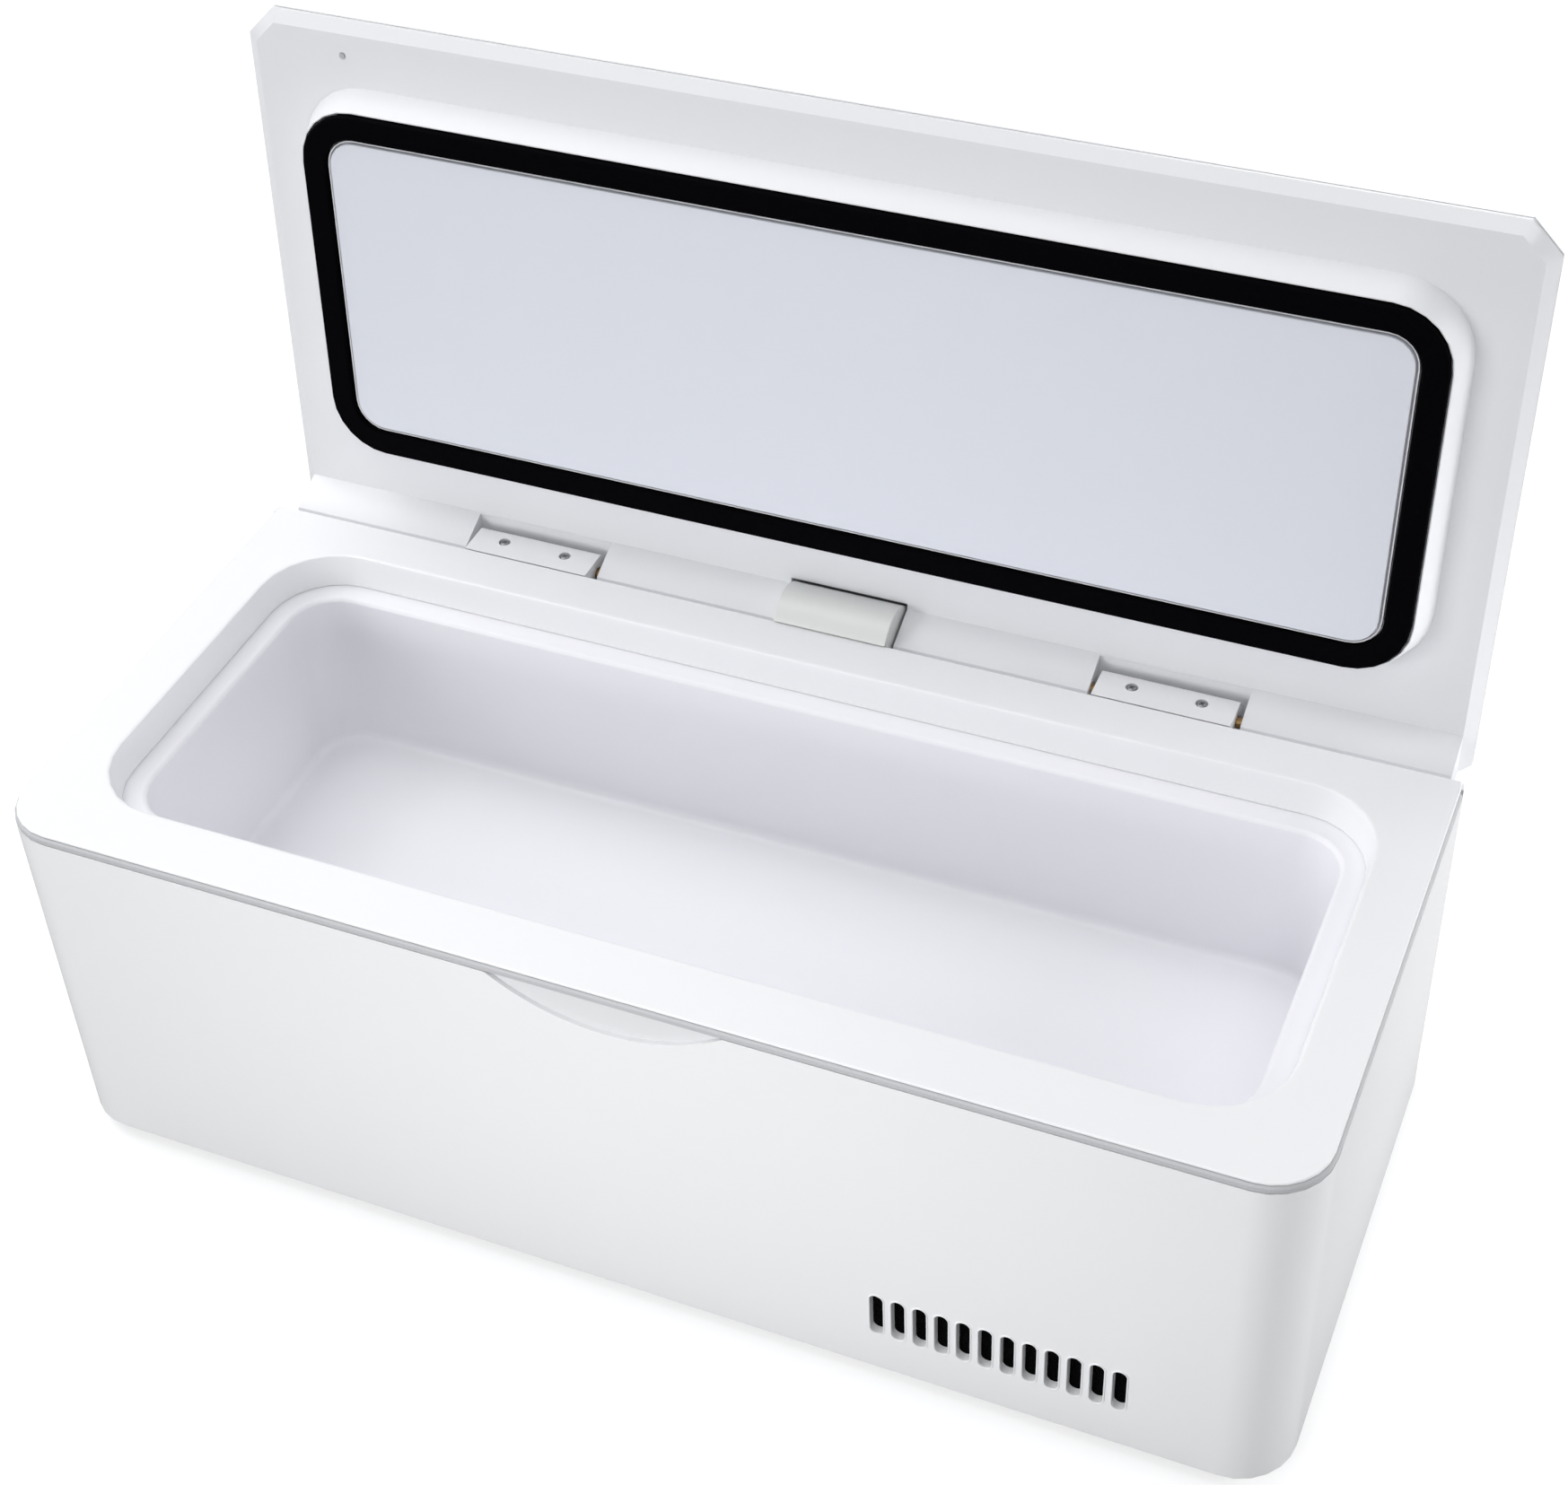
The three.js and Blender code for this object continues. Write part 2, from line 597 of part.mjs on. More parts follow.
function topFrame() {
  const edge = quarterRound(MOUTH_EDGE);
  const rimEdge = quarterRound(DECK_RIM_EDGE);
  const lipX = insideX - FIT;
  const lipY = insideY - FIT;
  const lipCorner = CASE_CORNER - BODY_WALL - FIT;
  const lipOutside = roundedOutline(lipX, lipY, lipCorner);
  const lipInside = roundedOutline(lipX - DECK_LIP_WALL, lipY - DECK_LIP_WALL, lipCorner - DECK_LIP_WALL);
  const lipLow = deckUnder - DECK_LIP_DEPTH;
  const mouthRing = (grow, z, taper) => ({
    outline: roundedOutline(
      mouthX + grow - taper,
      mouthY + grow - taper,
      MOUTH_CORNER + grow - taper,
      0,
      mouthMiddle,
    ),
    z,
  });
  const recessFoot = ledgeTop + SEAM_FIT;
  const lip = cut(slab(lipOutside, lipLow, deckTop - FIT), [slab(lipInside, lipLow - PAST, deckUnder)]);
  const deck = loft([
    { outline: caseOutline(DECK_INSET), z: rimUnder },
    ...rimEdge.map(({ inward, upward }) => ({
      outline: caseOutline(DECK_INSET + inward),
      z: deckTop - DECK_RIM_EDGE + upward,
    })),
  ]);
  const recess = loft([
    mouthRing(RECESS_WALL, recessFoot, RECESS_TAPER),
    mouthRing(RECESS_WALL, deckTop, 0),
  ]);
  const mouth = loft([
    mouthRing(0, recessFoot - PAST, RECESS_TAPER),
    mouthRing(0, recessFoot, RECESS_TAPER),
    ...edge.map(({ inward, upward }) => mouthRing(inward, deckTop - MOUTH_EDGE + upward, 0)),
    mouthRing(MOUTH_EDGE, deckTop + PAST, 0),
  ]);
  const trough = prismX(
    [
      troughEdge,
      troughKnee,
      troughFoot,
      at(halfDepth + PAST, troughFloorZ),
      at(halfDepth + PAST, deckTop + PAST),
      at(troughEdge.x, deckTop + PAST),
    ],
    -halfWidth - PAST,
    halfWidth + PAST,
  );
  const troughSheet = prismX(
    [
      at(troughEdge.x - TROUGH_FLOOR, deckTop - FIT),
      at(troughKnee.x - TROUGH_FLOOR, troughKnee.y),
      at(troughFoot.x - TROUGH_FLOOR, troughUnder),
      at(halfDepth, troughUnder),
      at(halfDepth, troughFloorZ),
      troughFoot,
      troughKnee,
      at(troughEdge.x, deckTop - FIT),
    ],
    -halfWidth,
    halfWidth,
  );
  const rearSheet = troughSheet.intersect(slab(caseOutline(0), underside, deckTop));
  const lipAhead = lip.subtract(
    box(-halfWidth, halfWidth, troughEdge.x - TROUGH_FLOOR, halfDepth + PAST, lipLow - PAST, deckTop),
  );
  const screwHoles = blockScrews.map(([x]) =>
    rodZ(SCREW_SHANK_RADIUS + FIT, x, screwY, troughUnder - PAST, troughFloorZ + PAST, SMALL_STEPS),
  );
  return cut(join([deck, lipAhead, recess]), [mouth, trough]).add(rearSheet.subtract(join(screwHoles)));
}

function cavityLiner() {
  const inside = (z, draft) => ({
    outline: roundedOutline(cavityX - draft, cavityY - draft, cavityCorner, 0, mouthMiddle),
    z,
  });
  const wallX = cavityX + LINER_WALL;
  const wallY = cavityY + LINER_WALL;
  const outside = roundedOutline(wallX, wallY, cavityCorner + LINER_WALL, 0, mouthMiddle);
  const flange = roundedOutline(flangeX, flangeY, MOUTH_CORNER, 0, mouthMiddle);
  const tub = slab(outside, linerUnder, ledgeTop - FLANGE_THICKNESS / 2);
  const rim = slab(flange, ledgeTop - FLANGE_THICKNESS, ledgeTop);
  const fillet = quarterRound(CAVITY_FILLET).reverse();
  const edge = quarterRound(LEDGE_EDGE);
  const filletTop = cavityFloor + CAVITY_FILLET;
  const well = loft([
    ...fillet.map(({ inward, upward }) => inside(filletTop - upward, CAVITY_DRAFT + inward)),
    ...edge.map(({ inward, upward }) => inside(ledgeTop - LEDGE_EDGE + upward, -inward)),
    inside(ledgeTop + PAST, -LEDGE_EDGE),
  ]);
  return tub.add(rim).subtract(well);
}

function insulationFoam() {
  const foamX = insideX - FOAM_MARGIN;
  const foamY = insideY - FOAM_MARGIN;
  const outside = roundedOutline(foamX, foamY, FOAM_CORNER);
  const hole = roundedOutline(
    cavityX + LINER_WALL + FIT,
    cavityY + LINER_WALL + FIT,
    cavityCorner + LINER_WALL + FIT,
    0,
    mouthMiddle,
  );
  const high = Math.min(ledgeTop - FLANGE_THICKNESS, troughUnder, deckUnder - DECK_LIP_DEPTH) - FIT;
  return slab(outside, linerUnder, high).subtract(slab(hole, linerUnder - PAST, high + PAST));
}

function basePlate() {
  const outline = roundedOutline(insideX - FIT, insideY - FIT, CASE_CORNER - BODY_WALL - FIT);
  const plate = slab(outline, baseUnder, baseTop);
  const posts = boardPosts.map(([x, y]) =>
    rodZ(BOARD_POST_RADIUS, x, y, baseTop - FIT, postTop, SMALL_STEPS),
  );
  const headTop = baseUnder + BASE_SCREW_HEAD_HEIGHT;
  const holes = basePoints.flatMap(([x, y]) => [
    rodZ(BASE_SCREW_SHANK + FIT, x, y, baseUnder - PAST, baseTop + PAST, SMALL_STEPS),
    rodZ(BASE_SCREW_HEAD + FIT, x, y, baseUnder - PAST, headTop + FIT, SMALL_STEPS),
  ]);
  const pockets = footPoints.map(([x, y]) =>
    rodZ(FOOT_RADIUS + FIT, x, y, baseUnder - PAST, baseUnder + FOOT_POCKET),
  );
  const grille = [];
  const rows = Math.floor(GRILLE_RADIUS / GRILLE_PITCH);
  for (let row = -rows; row <= rows; row += 1) {
    const half = Math.sqrt(GRILLE_RADIUS ** 2 - (row * GRILLE_PITCH) ** 2);
    const y = mouthMiddle + row * GRILLE_PITCH;
    const slot = [coolerX - half, coolerX + half, y - GRILLE_SLOT / 2, y + GRILLE_SLOT / 2];
    grille.push(box(...slot, baseUnder - PAST, baseTop + PAST));
  }
  return cut(join([plate, ...posts]), [...holes, ...pockets, ...grille]);
}

function heatSink() {
  const half = SINK_WIDTH / 2;
  const spread = SINK_WIDTH - FIN_THICKNESS;
  const section = [at(coolerX - half, sinkTop)];
  for (let fin = 0; fin < FIN_COUNT; fin += 1) {
    const left = coolerX - half + (spread * fin) / (FIN_COUNT - 1);
    const right = left + FIN_THICKNESS;
    if (fin > 0) {
      section.push(at(left, finTop));
    }
    section.push(at(left, finUnder), at(right, finUnder));
    if (fin < FIN_COUNT - 1) {
      section.push(at(right, finTop));
    }
  }
  section.push(at(coolerX + half, sinkTop));
  return prismY(section, mouthMiddle - SINK_DEPTH / 2, mouthMiddle + SINK_DEPTH / 2);
}

function fanFrame() {
  const half = FAN_SIDE / 2;
  const frame = slab(roundedOutline(half, half, FAN_STRUT, coolerX, mouthMiddle), fanUnder, fanTop);
  const tunnel = rodZ(FAN_BORE, coolerX, mouthMiddle, fanUnder - PAST, fanTop + PAST, 2 * ROUND_STEPS);
  const holder = rodZ(FAN_HUB, coolerX, mouthMiddle, fanUnder, fanStrutTop);
  const strut = (reachX, reachY) =>
    box(
      coolerX - reachX,
      coolerX + reachX,
      mouthMiddle - reachY,
      mouthMiddle + reachY,
      fanUnder,
      fanStrutTop,
    );
  const struts = [strut(half, FAN_STRUT), strut(FAN_STRUT, half)];
  const bearing = rodZ(FAN_SHAFT_RADIUS + FIT, coolerX, mouthMiddle, fanUnder + FIT, fanTop, SMALL_STEPS);
  return join([frame.subtract(tunnel), holder, ...struts]).subtract(bearing);
}

// Hub with pitched blades, on a short shaft that runs in the fan frame's bearing
function fanRotor() {
  const rotorTop = fanTop - FIT;
  const middle = (rotorUnder + rotorTop) / 2;
  const hub = rodZ(FAN_HUB, coolerX, mouthMiddle, rotorUnder, rotorTop);
  const shaftLow = fanUnder + 2 * FIT;
  const shaft = rodZ(FAN_SHAFT_RADIUS, coolerX, mouthMiddle, shaftLow, rotorUnder + FIT, SMALL_STEPS);
  const tip = FAN_BORE - FAN_TIP_GAP;
  const ring = rodZ(tip, coolerX, mouthMiddle, rotorUnder, rotorTop, 2 * ROUND_STEPS);
  const chord = rotorTop - rotorUnder;
  const blades = [];
  for (let blade = 0; blade < FAN_BLADES; blade += 1) {
    const geometry = new THREE.BoxGeometry(tip, 2 * chord, BLADE_THICKNESS);
    geometry.translate(tip / 2 + FIT, 0, 0);
    geometry.rotateX(THREE.MathUtils.degToRad(BLADE_PITCH));
    geometry.rotateZ((2 * Math.PI * blade) / FAN_BLADES);
    geometry.translate(coolerX, mouthMiddle, middle);
    blades.push(solid(geometry));
  }
  return join([hub, shaft, join(blades).intersect(ring)]);
}

function batteryHolder() {
  const low = baseTop + FIT;
  const tray = box(
    batteryX - holderX,
    batteryX + holderX,
    mouthMiddle - holderY,
    mouthMiddle + holderY,
    low,
    low + HOLDER_WALL + HOLDER_SIDE,
  );
  const well = box(
    batteryX - holderX + HOLDER_WALL,
    batteryX + holderX - HOLDER_WALL,
    mouthMiddle - holderY + HOLDER_WALL,
    mouthMiddle + holderY - HOLDER_WALL,
    low + HOLDER_WALL,
    low + HOLDER_WALL + HOLDER_SIDE + PAST,
  );
  return tray.subtract(well);
}

function batteryCell(side) {
  const half = CELL_LENGTH / 2;
  const y = mouthMiddle + side * cellOffset;
  const nub = rodX(CELL_NUB_RADIUS, batteryX + half - 2 * FIT, batteryX + half, y, cellZ, SMALL_STEPS);
  return rodX(CELL_RADIUS, batteryX - half, batteryX + half - FIT, y, cellZ).add(nub);
}

function dcJack() {
  const back = insideY - FIT;
  const housing = box(
    jackX - JACK_WIDTH / 2,
    jackX + JACK_WIDTH / 2,
    back - JACK_DEPTH,
    back,
    jackUnder,
    jackUnder + JACK_HEIGHT,
  );
  const nose = rodY(JACK_NOSE_RADIUS, jackX, back - FIT, halfDepth, jackZ);
  const boreEnd = back - JACK_DEPTH / 2;
  const bore = rodY(JACK_BORE_RADIUS, jackX, boreEnd, halfDepth + PAST, jackZ);
  const pin = rodY(JACK_PIN_RADIUS, jackX, boreEnd - FIT, halfDepth - FIT, jackZ, SMALL_STEPS);
  return housing.add(nose).subtract(bore).add(pin);
}

// Hinge block: flush with the deck on top, seated in the trough, with a socket for a pin at each end
const blockFloor = troughFloorZ + FIT;
const blockFront = (drop) => troughFace(drop) + FIT;

function hingeBlock(side) {
  const back = axisY + BEAD_RADIUS - FIT;
  const rearRadius = faceRise - BLOCK_CLEARANCE;
  const lowAngle = THREE.MathUtils.radToDeg(Math.acos((back - axisY) / rearRadius));
  const highAngle = THREE.MathUtils.radToDeg(Math.asin(AXIS_BELOW_DECK / rearRadius));
  const section = [
    at(blockFront(0), deckTop),
    at(blockFront(AXIS_BELOW_DECK), axisZ),
    at(troughFoot.x + FIT, blockFloor),
    at(back, blockFloor),
    ...arc(at(axisY, axisZ), rearRadius, lowAngle, highAngle, SLOT_STEPS),
  ];
  const middle = side * HINGE_X;
  const half = BLOCK_WIDTH / 2;
  const block = prismX(section, middle - half, middle + half);
  const sockets = [-1, 1].map((end) => {
    const ends = [middle + end * (half - PIN_REACH), middle + end * (half + PAST)];
    return rodX(PIN_RADIUS + FIT, Math.min(...ends), Math.max(...ends), axisY, axisZ, SMALL_STEPS);
  });
  const seat = deckTop - SCREW_HEAD_HEIGHT - FIT;
  const holes = blockScrews
    .filter(([, owner]) => owner === side)
    .flatMap(([x]) => [
      rodZ(SCREW_SHANK_RADIUS + FIT, x, screwY, blockFloor - PAST, deckTop + PAST, SMALL_STEPS),
      rodZ(SCREW_HEAD_RADIUS + FIT, x, screwY, seat, deckTop + PAST, SMALL_STEPS),
    ]);
  return cut(block, [...sockets, ...holes]);
}

// Drum between the hinges that leads the display's wiring from the case into the lid
function cableDrum() {
  const centre = at(axisY, axisZ);
  const frontAngle = 180 - THREE.MathUtils.radToDeg(Math.asin((AXIS_BELOW_DECK + FIT) / DRUM_RADIUS));
  const backAngle = -THREE.MathUtils.radToDeg(Math.asin((axisZ - blockFloor) / DRUM_RADIUS));
  const section = [
    ...arc(centre, DRUM_RADIUS, backAngle, frontAngle, ROUND_STEPS),
    at(blockFront(-FIT), deckTop + FIT),
    at(blockFront(AXIS_BELOW_DECK), axisZ),
    at(troughFoot.x + FIT, blockFloor),
  ];
  return prismX(section, -DRUM_WIDTH / 2, DRUM_WIDTH / 2);
}

// Lid pieces, in the closed lid's own frame with the hinge axis as the origin
const lidHalf = halfWidth - LID_SIDE_INSET;
const lidFront = -halfDepth + LID_FRONT_INSET - axisY;
const lidBack = BEAD_RADIUS;
const plugMiddle = mouthMiddle - axisY;
const plugX = mouthX - PLUG_GAP;
const plugY = mouthY - PLUG_GAP;
const plugCorner = MOUTH_CORNER - PLUG_GAP;
const plugFace = faceRise - plugDepth;
const plateTop = faceRise + LID_PLATE;
const shellUnder = plateTop + FIT;
const lidTop = faceRise + LID_RISE;

// Lid outline with cut corners, drawn in evenly by an inset
function lidOutline(inset, backInset = inset) {
  const shrink = inset * (2 - Math.SQRT2);
  const frontCut = LID_CORNER_CUT - Math.min(shrink, LID_CORNER_CUT * CUT_SHRINK);
  const rearCut = LID_REAR_CUT - Math.min(shrink, LID_REAR_CUT * CUT_SHRINK);
  const x = lidHalf - inset;
  const front = lidFront + inset;
  const back = lidBack - backInset;
  return [
    at(-x + frontCut, front),
    at(x - frontCut, front),
    at(x, front + frontCut),
    at(x, back - rearCut),
    at(x - rearCut, back),
    at(-x + rearCut, back),
    at(-x, back - rearCut),
    at(-x, front + frontCut),
  ];
}

const plugOutline = (inset) =>
  roundedOutline(plugX - inset, plugY - inset, plugCorner - inset, 0, plugMiddle);
const gasketOutside = PLUG_TAPER + GASKET_EDGE;
const gasketInside = gasketOutside + GASKET_BAND;

// Notches that clear the hinge blocks and the drum, cut into every lid piece that reaches them
function hingeNotches() {
  const notchHalf = BLOCK_WIDTH / 2 + NOTCH_GAP;
  const blocks = [-1, 1].map((side) =>
    box(
      side * HINGE_X - notchHalf,
      side * HINGE_X + notchHalf,
      -BAND_WIDTH + FIT / 2,
      BEAD_RADIUS + PAST,
      -BEAD_RADIUS - PAST,
      faceRise,
    ),
  );
  const drumHalf = DRUM_WIDTH / 2 + DRUM_GAP;
  return [...blocks, rodX(DRUM_RADIUS + DRUM_GAP, -drumHalf, drumHalf, 0, 0, 2 * ROUND_STEPS)];
}

function lidInnerFrame() {
  const plate = loft([
    { outline: lidOutline(LID_BEVEL_WIDTH, 0), z: faceRise },
    { outline: lidOutline(0), z: faceRise + LID_BEVEL_DEPTH },
    { outline: lidOutline(0), z: plateTop },
  ]);
  const bead = prismX(
    [
      bandTop,
      ...arc(hingeOrigin, BEAD_RADIUS, LIP_ANGLE + OPEN_ANGLE, 360, SMALL_STEPS),
      at(BEAD_RADIUS, faceRise + LID_BEVEL_DEPTH),
      at(-BAND_WIDTH, faceRise + LID_BEVEL_DEPTH),
    ],
    -lidHalf + LID_BEVEL_WIDTH,
    lidHalf - LID_BEVEL_WIDTH,
  );
  const plug = loft([
    { outline: plugOutline(PLUG_TAPER), z: plugFace },
    { outline: plugOutline(0), z: faceRise },
    { outline: plugOutline(0), z: faceRise + LID_BEVEL_DEPTH },
  ]);
  const foamWell = slab(plugOutline(PLUG_RIM), plugFace + PLUG_SKIN, plateTop + PAST);
  const seatFloor = plugFace + GASKET_SEAT;
  const seat = slab(plugOutline(gasketOutside - FIT), plugFace - PAST, seatFloor);
  const island = slab(plugOutline(gasketInside + FIT), plugFace - PAST, seatFloor);
  const panelSide = gasketInside + GASKET_EDGE;
  const panelSeat = slab(plugOutline(panelSide), plugFace - PAST, plugFace + PANEL_THICKNESS);
  const pinHoles = pinPlaces.map(({ low, high }) =>
    rodX(PIN_RADIUS + FIT, low - FIT, high + FIT, 0, 0, SMALL_STEPS),
  );
  const pipTop = faceRise + LID_BEVEL_DEPTH;
  const pipHole = rodZ(PIP_RADIUS + SEAM_FIT, pipX, pipY, faceRise - PAST, pipTop, SMALL_STEPS);
  const body = join([plate, bead, plug]);
  return cut(body, [foamWell, seat.subtract(island), panelSeat, ...hingeNotches(), ...pinHoles, pipHole]);
}

const pipX = -lidHalf + PIP_FROM_SIDE;
const pipY = lidFront + PIP_FROM_FRONT;

// A pin at each end of both hinge blocks, half in the block and half in the lid's bead
const pinPlaces = [-1, 1].flatMap((side) =>
  [-1, 1].map((end) => {
    const face = side * HINGE_X + (end * BLOCK_WIDTH) / 2;
    const inner = face - end * (PIN_REACH - FIT);
    const outer = face + end * (NOTCH_GAP + PIN_REACH);
    return { side, end, low: Math.min(inner, outer), high: Math.max(inner, outer) };
  }),
);

// Sloped outer shell: a short rim, a long slope and a soft shoulder to the flat top
function shellRings(thin) {
  const rise = lidTop - shellUnder - thin;
  return LID_PROFILE.map(([along, up]) => ({
    outline: lidOutline(thin + along * LID_SLOPE),
    z: shellUnder + up * rise,
  }));
}

const windowMiddle = plugMiddle;
const buttonPlaces = [["set", -1], ["power", 1]];
const lidBoardTop = lidTop - LID_WALL - FIT - DISPLAY_THICKNESS - FIT;
const lidBoardUnder = lidBoardTop - LID_BOARD_THICKNESS;
const lidBoardX = BUTTON_X + LID_BOARD_MARGIN;
const lidBoardY = WINDOW_DEPTH / 2 + LID_BOARD_MARGIN / 2;
const boardBosses = signs.map(([x, y]) => [
  x * (lidBoardX - LID_BOARD_BOSS - FIT),
  windowMiddle + y * (lidBoardY - LID_BOARD_BOSS - FIT),
]);

function lidShell() {
  const hollow = shellRings(LID_WALL);
  const inner = loft([{ outline: hollow[0].outline, z: shellUnder - PAST }, ...hollow]);
  const cutLow = lidTop - LID_WALL - PAST;
  const cutHigh = lidTop + PAST;
  const halfWindow = [WINDOW_WIDTH / 2 + FIT, WINDOW_DEPTH / 2 + FIT, WINDOW_CORNER + FIT];
  const windowHole = slab(roundedOutline(...halfWindow, 0, windowMiddle), cutLow, cutHigh);
  const buttonHoles = buttonPlaces.map(([, side]) =>
    rodZ(BUTTON_RADIUS + BUTTON_GAP, side * BUTTON_X, windowMiddle, cutLow, cutHigh),
  );
  const bosses = boardBosses.map(([x, y]) =>
    rodZ(LID_BOARD_BOSS, x, y, lidBoardTop + FIT, lidTop - LID_WALL / 2, SMALL_STEPS),
  );
  const walls = loft(shellRings(0)).subtract(inner);
  return cut(join([walls, ...bosses]), [windowHole, ...buttonHoles, ...hingeNotches()]);
}

function button(side) {
  const x = side * BUTTON_X;
  const under = lidTop - LID_WALL - FIT;
  const cap = rodZ(BUTTON_RADIUS, x, windowMiddle, under - FIT, lidTop + BUTTON_PROUD);
  const flange = rodZ(BUTTON_RADIUS + BUTTON_FLANGE, x, windowMiddle, under - BUTTON_FLANGE_HEIGHT, under);
  const stemLow = lidBoardTop + BUTTON_TRAVEL + FIT;
  const stem = rodZ(BUTTON_STEM_RADIUS, x, windowMiddle, stemLow, under, SMALL_STEPS);
  return join([cap, flange, stem]);
}

// Fixed pieces
piece(coolingCase, "body_shell", bodyShell(), CASE_WHITE);
piece(coolingCase, "deck_strip", deckStrip(), STRIP_GREY);
piece(coolingCase, "top_frame", topFrame(), CASE_WHITE);
piece(coolingCase, "cavity_liner", cavityLiner(), TRAY_WHITE);
piece(coolingCase, "insulation_foam", insulationFoam(), FOAM);
piece(coolingCase, "base_plate", basePlate(), BASE_WHITE);
const filterLow = insideY + FILTER_THICKNESS;
piece(coolingCase, "vent_filter_front", prismY(filterOutline(0), -filterLow, -insideY), FILTER_BLACK);
piece(coolingCase, "vent_filter_rear", prismY(filterOutline(0), insideY, filterLow), FILTER_BLACK);

const coldX = COLD_PLATE_WIDTH / 2;
const coldY = COLD_PLATE_DEPTH / 2;
const coldOutline = roundedOutline(coldX, coldY, COLD_PLATE_CORNER, coolerX, mouthMiddle);
piece(coolingCase, "cold_plate", slab(coldOutline, coldUnder, coldTop), ALUMINIUM);
const peltierHalf = PELTIER_SIDE / 2;
const peltierOutline = roundedOutline(peltierHalf, peltierHalf, PELTIER_CORNER, coolerX, mouthMiddle);
piece(coolingCase, "peltier_module", slab(peltierOutline, peltierUnder, peltierTop), CERAMIC);
piece(coolingCase, "heat_sink", heatSink(), ALUMINIUM);
piece(coolingCase, "fan_frame", fanFrame(), BLACK_PLASTIC);
piece(coolingCase, "fan_rotor", fanRotor(), BLACK_PLASTIC);

piece(coolingCase, "battery_holder", batteryHolder(), BLACK_PLASTIC);
piece(coolingCase, "battery_cell_front", batteryCell(-1), CELL_WRAP);
piece(coolingCase, "battery_cell_rear", batteryCell(1), CELL_WRAP);
const boardBox = [boardX - BOARD_WIDTH / 2, boardX + BOARD_WIDTH / 2, boardFront, boardBack];
piece(coolingCase, "control_board", box(...boardBox, boardUnder, boardTop), BOARD_GREEN);
piece(coolingCase, "dc_jack", dcJack(), BLACK_PLASTIC);

corners.forEach((corner, number) => {
  const footTop = baseUnder + FOOT_POCKET - FIT;
  piece(coolingCase, `foot_${corner}`, rodZ(FOOT_RADIUS, ...footPoints[number], 0, footTop), RUBBER);
  const [x, y] = basePoints[number];
  const headTop = baseUnder + BASE_SCREW_HEAD_HEIGHT;
  const head = rodZ(BASE_SCREW_HEAD, x, y, baseUnder, headTop, SMALL_STEPS);
  const tip = baseTop + BASE_SCREW_LENGTH - FIT;
  const shank = rodZ(BASE_SCREW_SHANK, x, y, headTop - FIT, tip, SMALL_STEPS);
  piece(coolingCase, `base_screw_${corner}`, head.add(shank), STEEL);
});

const sideNames = { "-1": "left", 1: "right" };
for (const side of [-1, 1]) {
  piece(coolingCase, `hinge_block_${sideNames[side]}`, hingeBlock(side), HINGE_WHITE);
}
for (const { side, end, low, high } of pinPlaces) {
  const name = `hinge_pin_${sideNames[side]}_${end === side ? "outer" : "inner"}`;
  piece(coolingCase, name, rodX(PIN_RADIUS, low, high, axisY, axisZ, SMALL_STEPS), BRASS);
}
for (const [x, side, end] of blockScrews) {
  const headLow = deckTop - SCREW_HEAD_HEIGHT;
  const head = rodZ(SCREW_HEAD_RADIUS, x, screwY, headLow, deckTop, SMALL_STEPS);
  const shank = rodZ(SCREW_SHANK_RADIUS, x, screwY, troughUnder, headLow + FIT, SMALL_STEPS);
  const name = `hinge_screw_${sideNames[side]}_${end === side ? "outer" : "inner"}`;
  piece(coolingCase, name, head.add(shank), STEEL);
}
piece(coolingCase, "cable_drum", cableDrum(), DRUM_GREY);

// Lid pieces
piece(lid, "lid_inner_frame", lidInnerFrame(), CASE_WHITE);
piece(lid, "lid_shell", lidShell(), CASE_WHITE);
const foamTop = shellUnder + LID_FOAM_RISE;
const lidFoam = slab(plugOutline(PLUG_RIM + FIT), plugFace + PLUG_SKIN + FIT, foamTop);
piece(lid, "lid_foam", lidFoam, FOAM);
const gasketLow = plugFace - GASKET_PROUD;
const gasketHigh = plugFace + GASKET_SEAT - FIT;
const gasketRing = slab(plugOutline(gasketOutside), gasketLow, gasketHigh);
const gasketHole = slab(plugOutline(gasketInside), gasketLow - PAST, gasketHigh + PAST);
piece(lid, "gasket", gasketRing.subtract(gasketHole), RUBBER);
const panelOutline = plugOutline(gasketInside + GASKET_EDGE + FIT);
const panelTop = plugFace + PANEL_THICKNESS - FIT;
piece(lid, "inner_panel", slab(panelOutline, plugFace - FIT, panelTop), PANEL_GREY);
const pipTop = faceRise + LID_BEVEL_DEPTH - FIT;
const pip = rodZ(PIP_RADIUS, pipX, pipY, faceRise - PIP_HEIGHT, pipTop, SMALL_STEPS);
piece(lid, "lid_sensor_pip", pip, ALUMINIUM);

const windowOutline = roundedOutline(WINDOW_WIDTH / 2, WINDOW_DEPTH / 2, WINDOW_CORNER, 0, windowMiddle);
piece(lid, "display_window", slab(windowOutline, lidTop - LID_WALL, lidTop), LENS);
const displayX = WINDOW_WIDTH / 2 + WINDOW_LIP;
const displayY = WINDOW_DEPTH / 2 + WINDOW_LIP;
const displayOutline = roundedOutline(displayX, displayY, WINDOW_LIP, 0, windowMiddle);
const displayTop = lidTop - LID_WALL - FIT;
const displayLow = displayTop - DISPLAY_THICKNESS;
piece(lid, "display_module", slab(displayOutline, displayLow, displayTop), DISPLAY_GLASS);
const lidBoardBox = [-lidBoardX, lidBoardX, windowMiddle - lidBoardY, windowMiddle + lidBoardY];
piece(lid, "lid_board", box(...lidBoardBox, lidBoardUnder, lidBoardTop), BOARD_GREEN);
for (const [use, side] of buttonPlaces) {
  piece(lid, `button_${use}`, button(side), BUTTON_GREY);
}

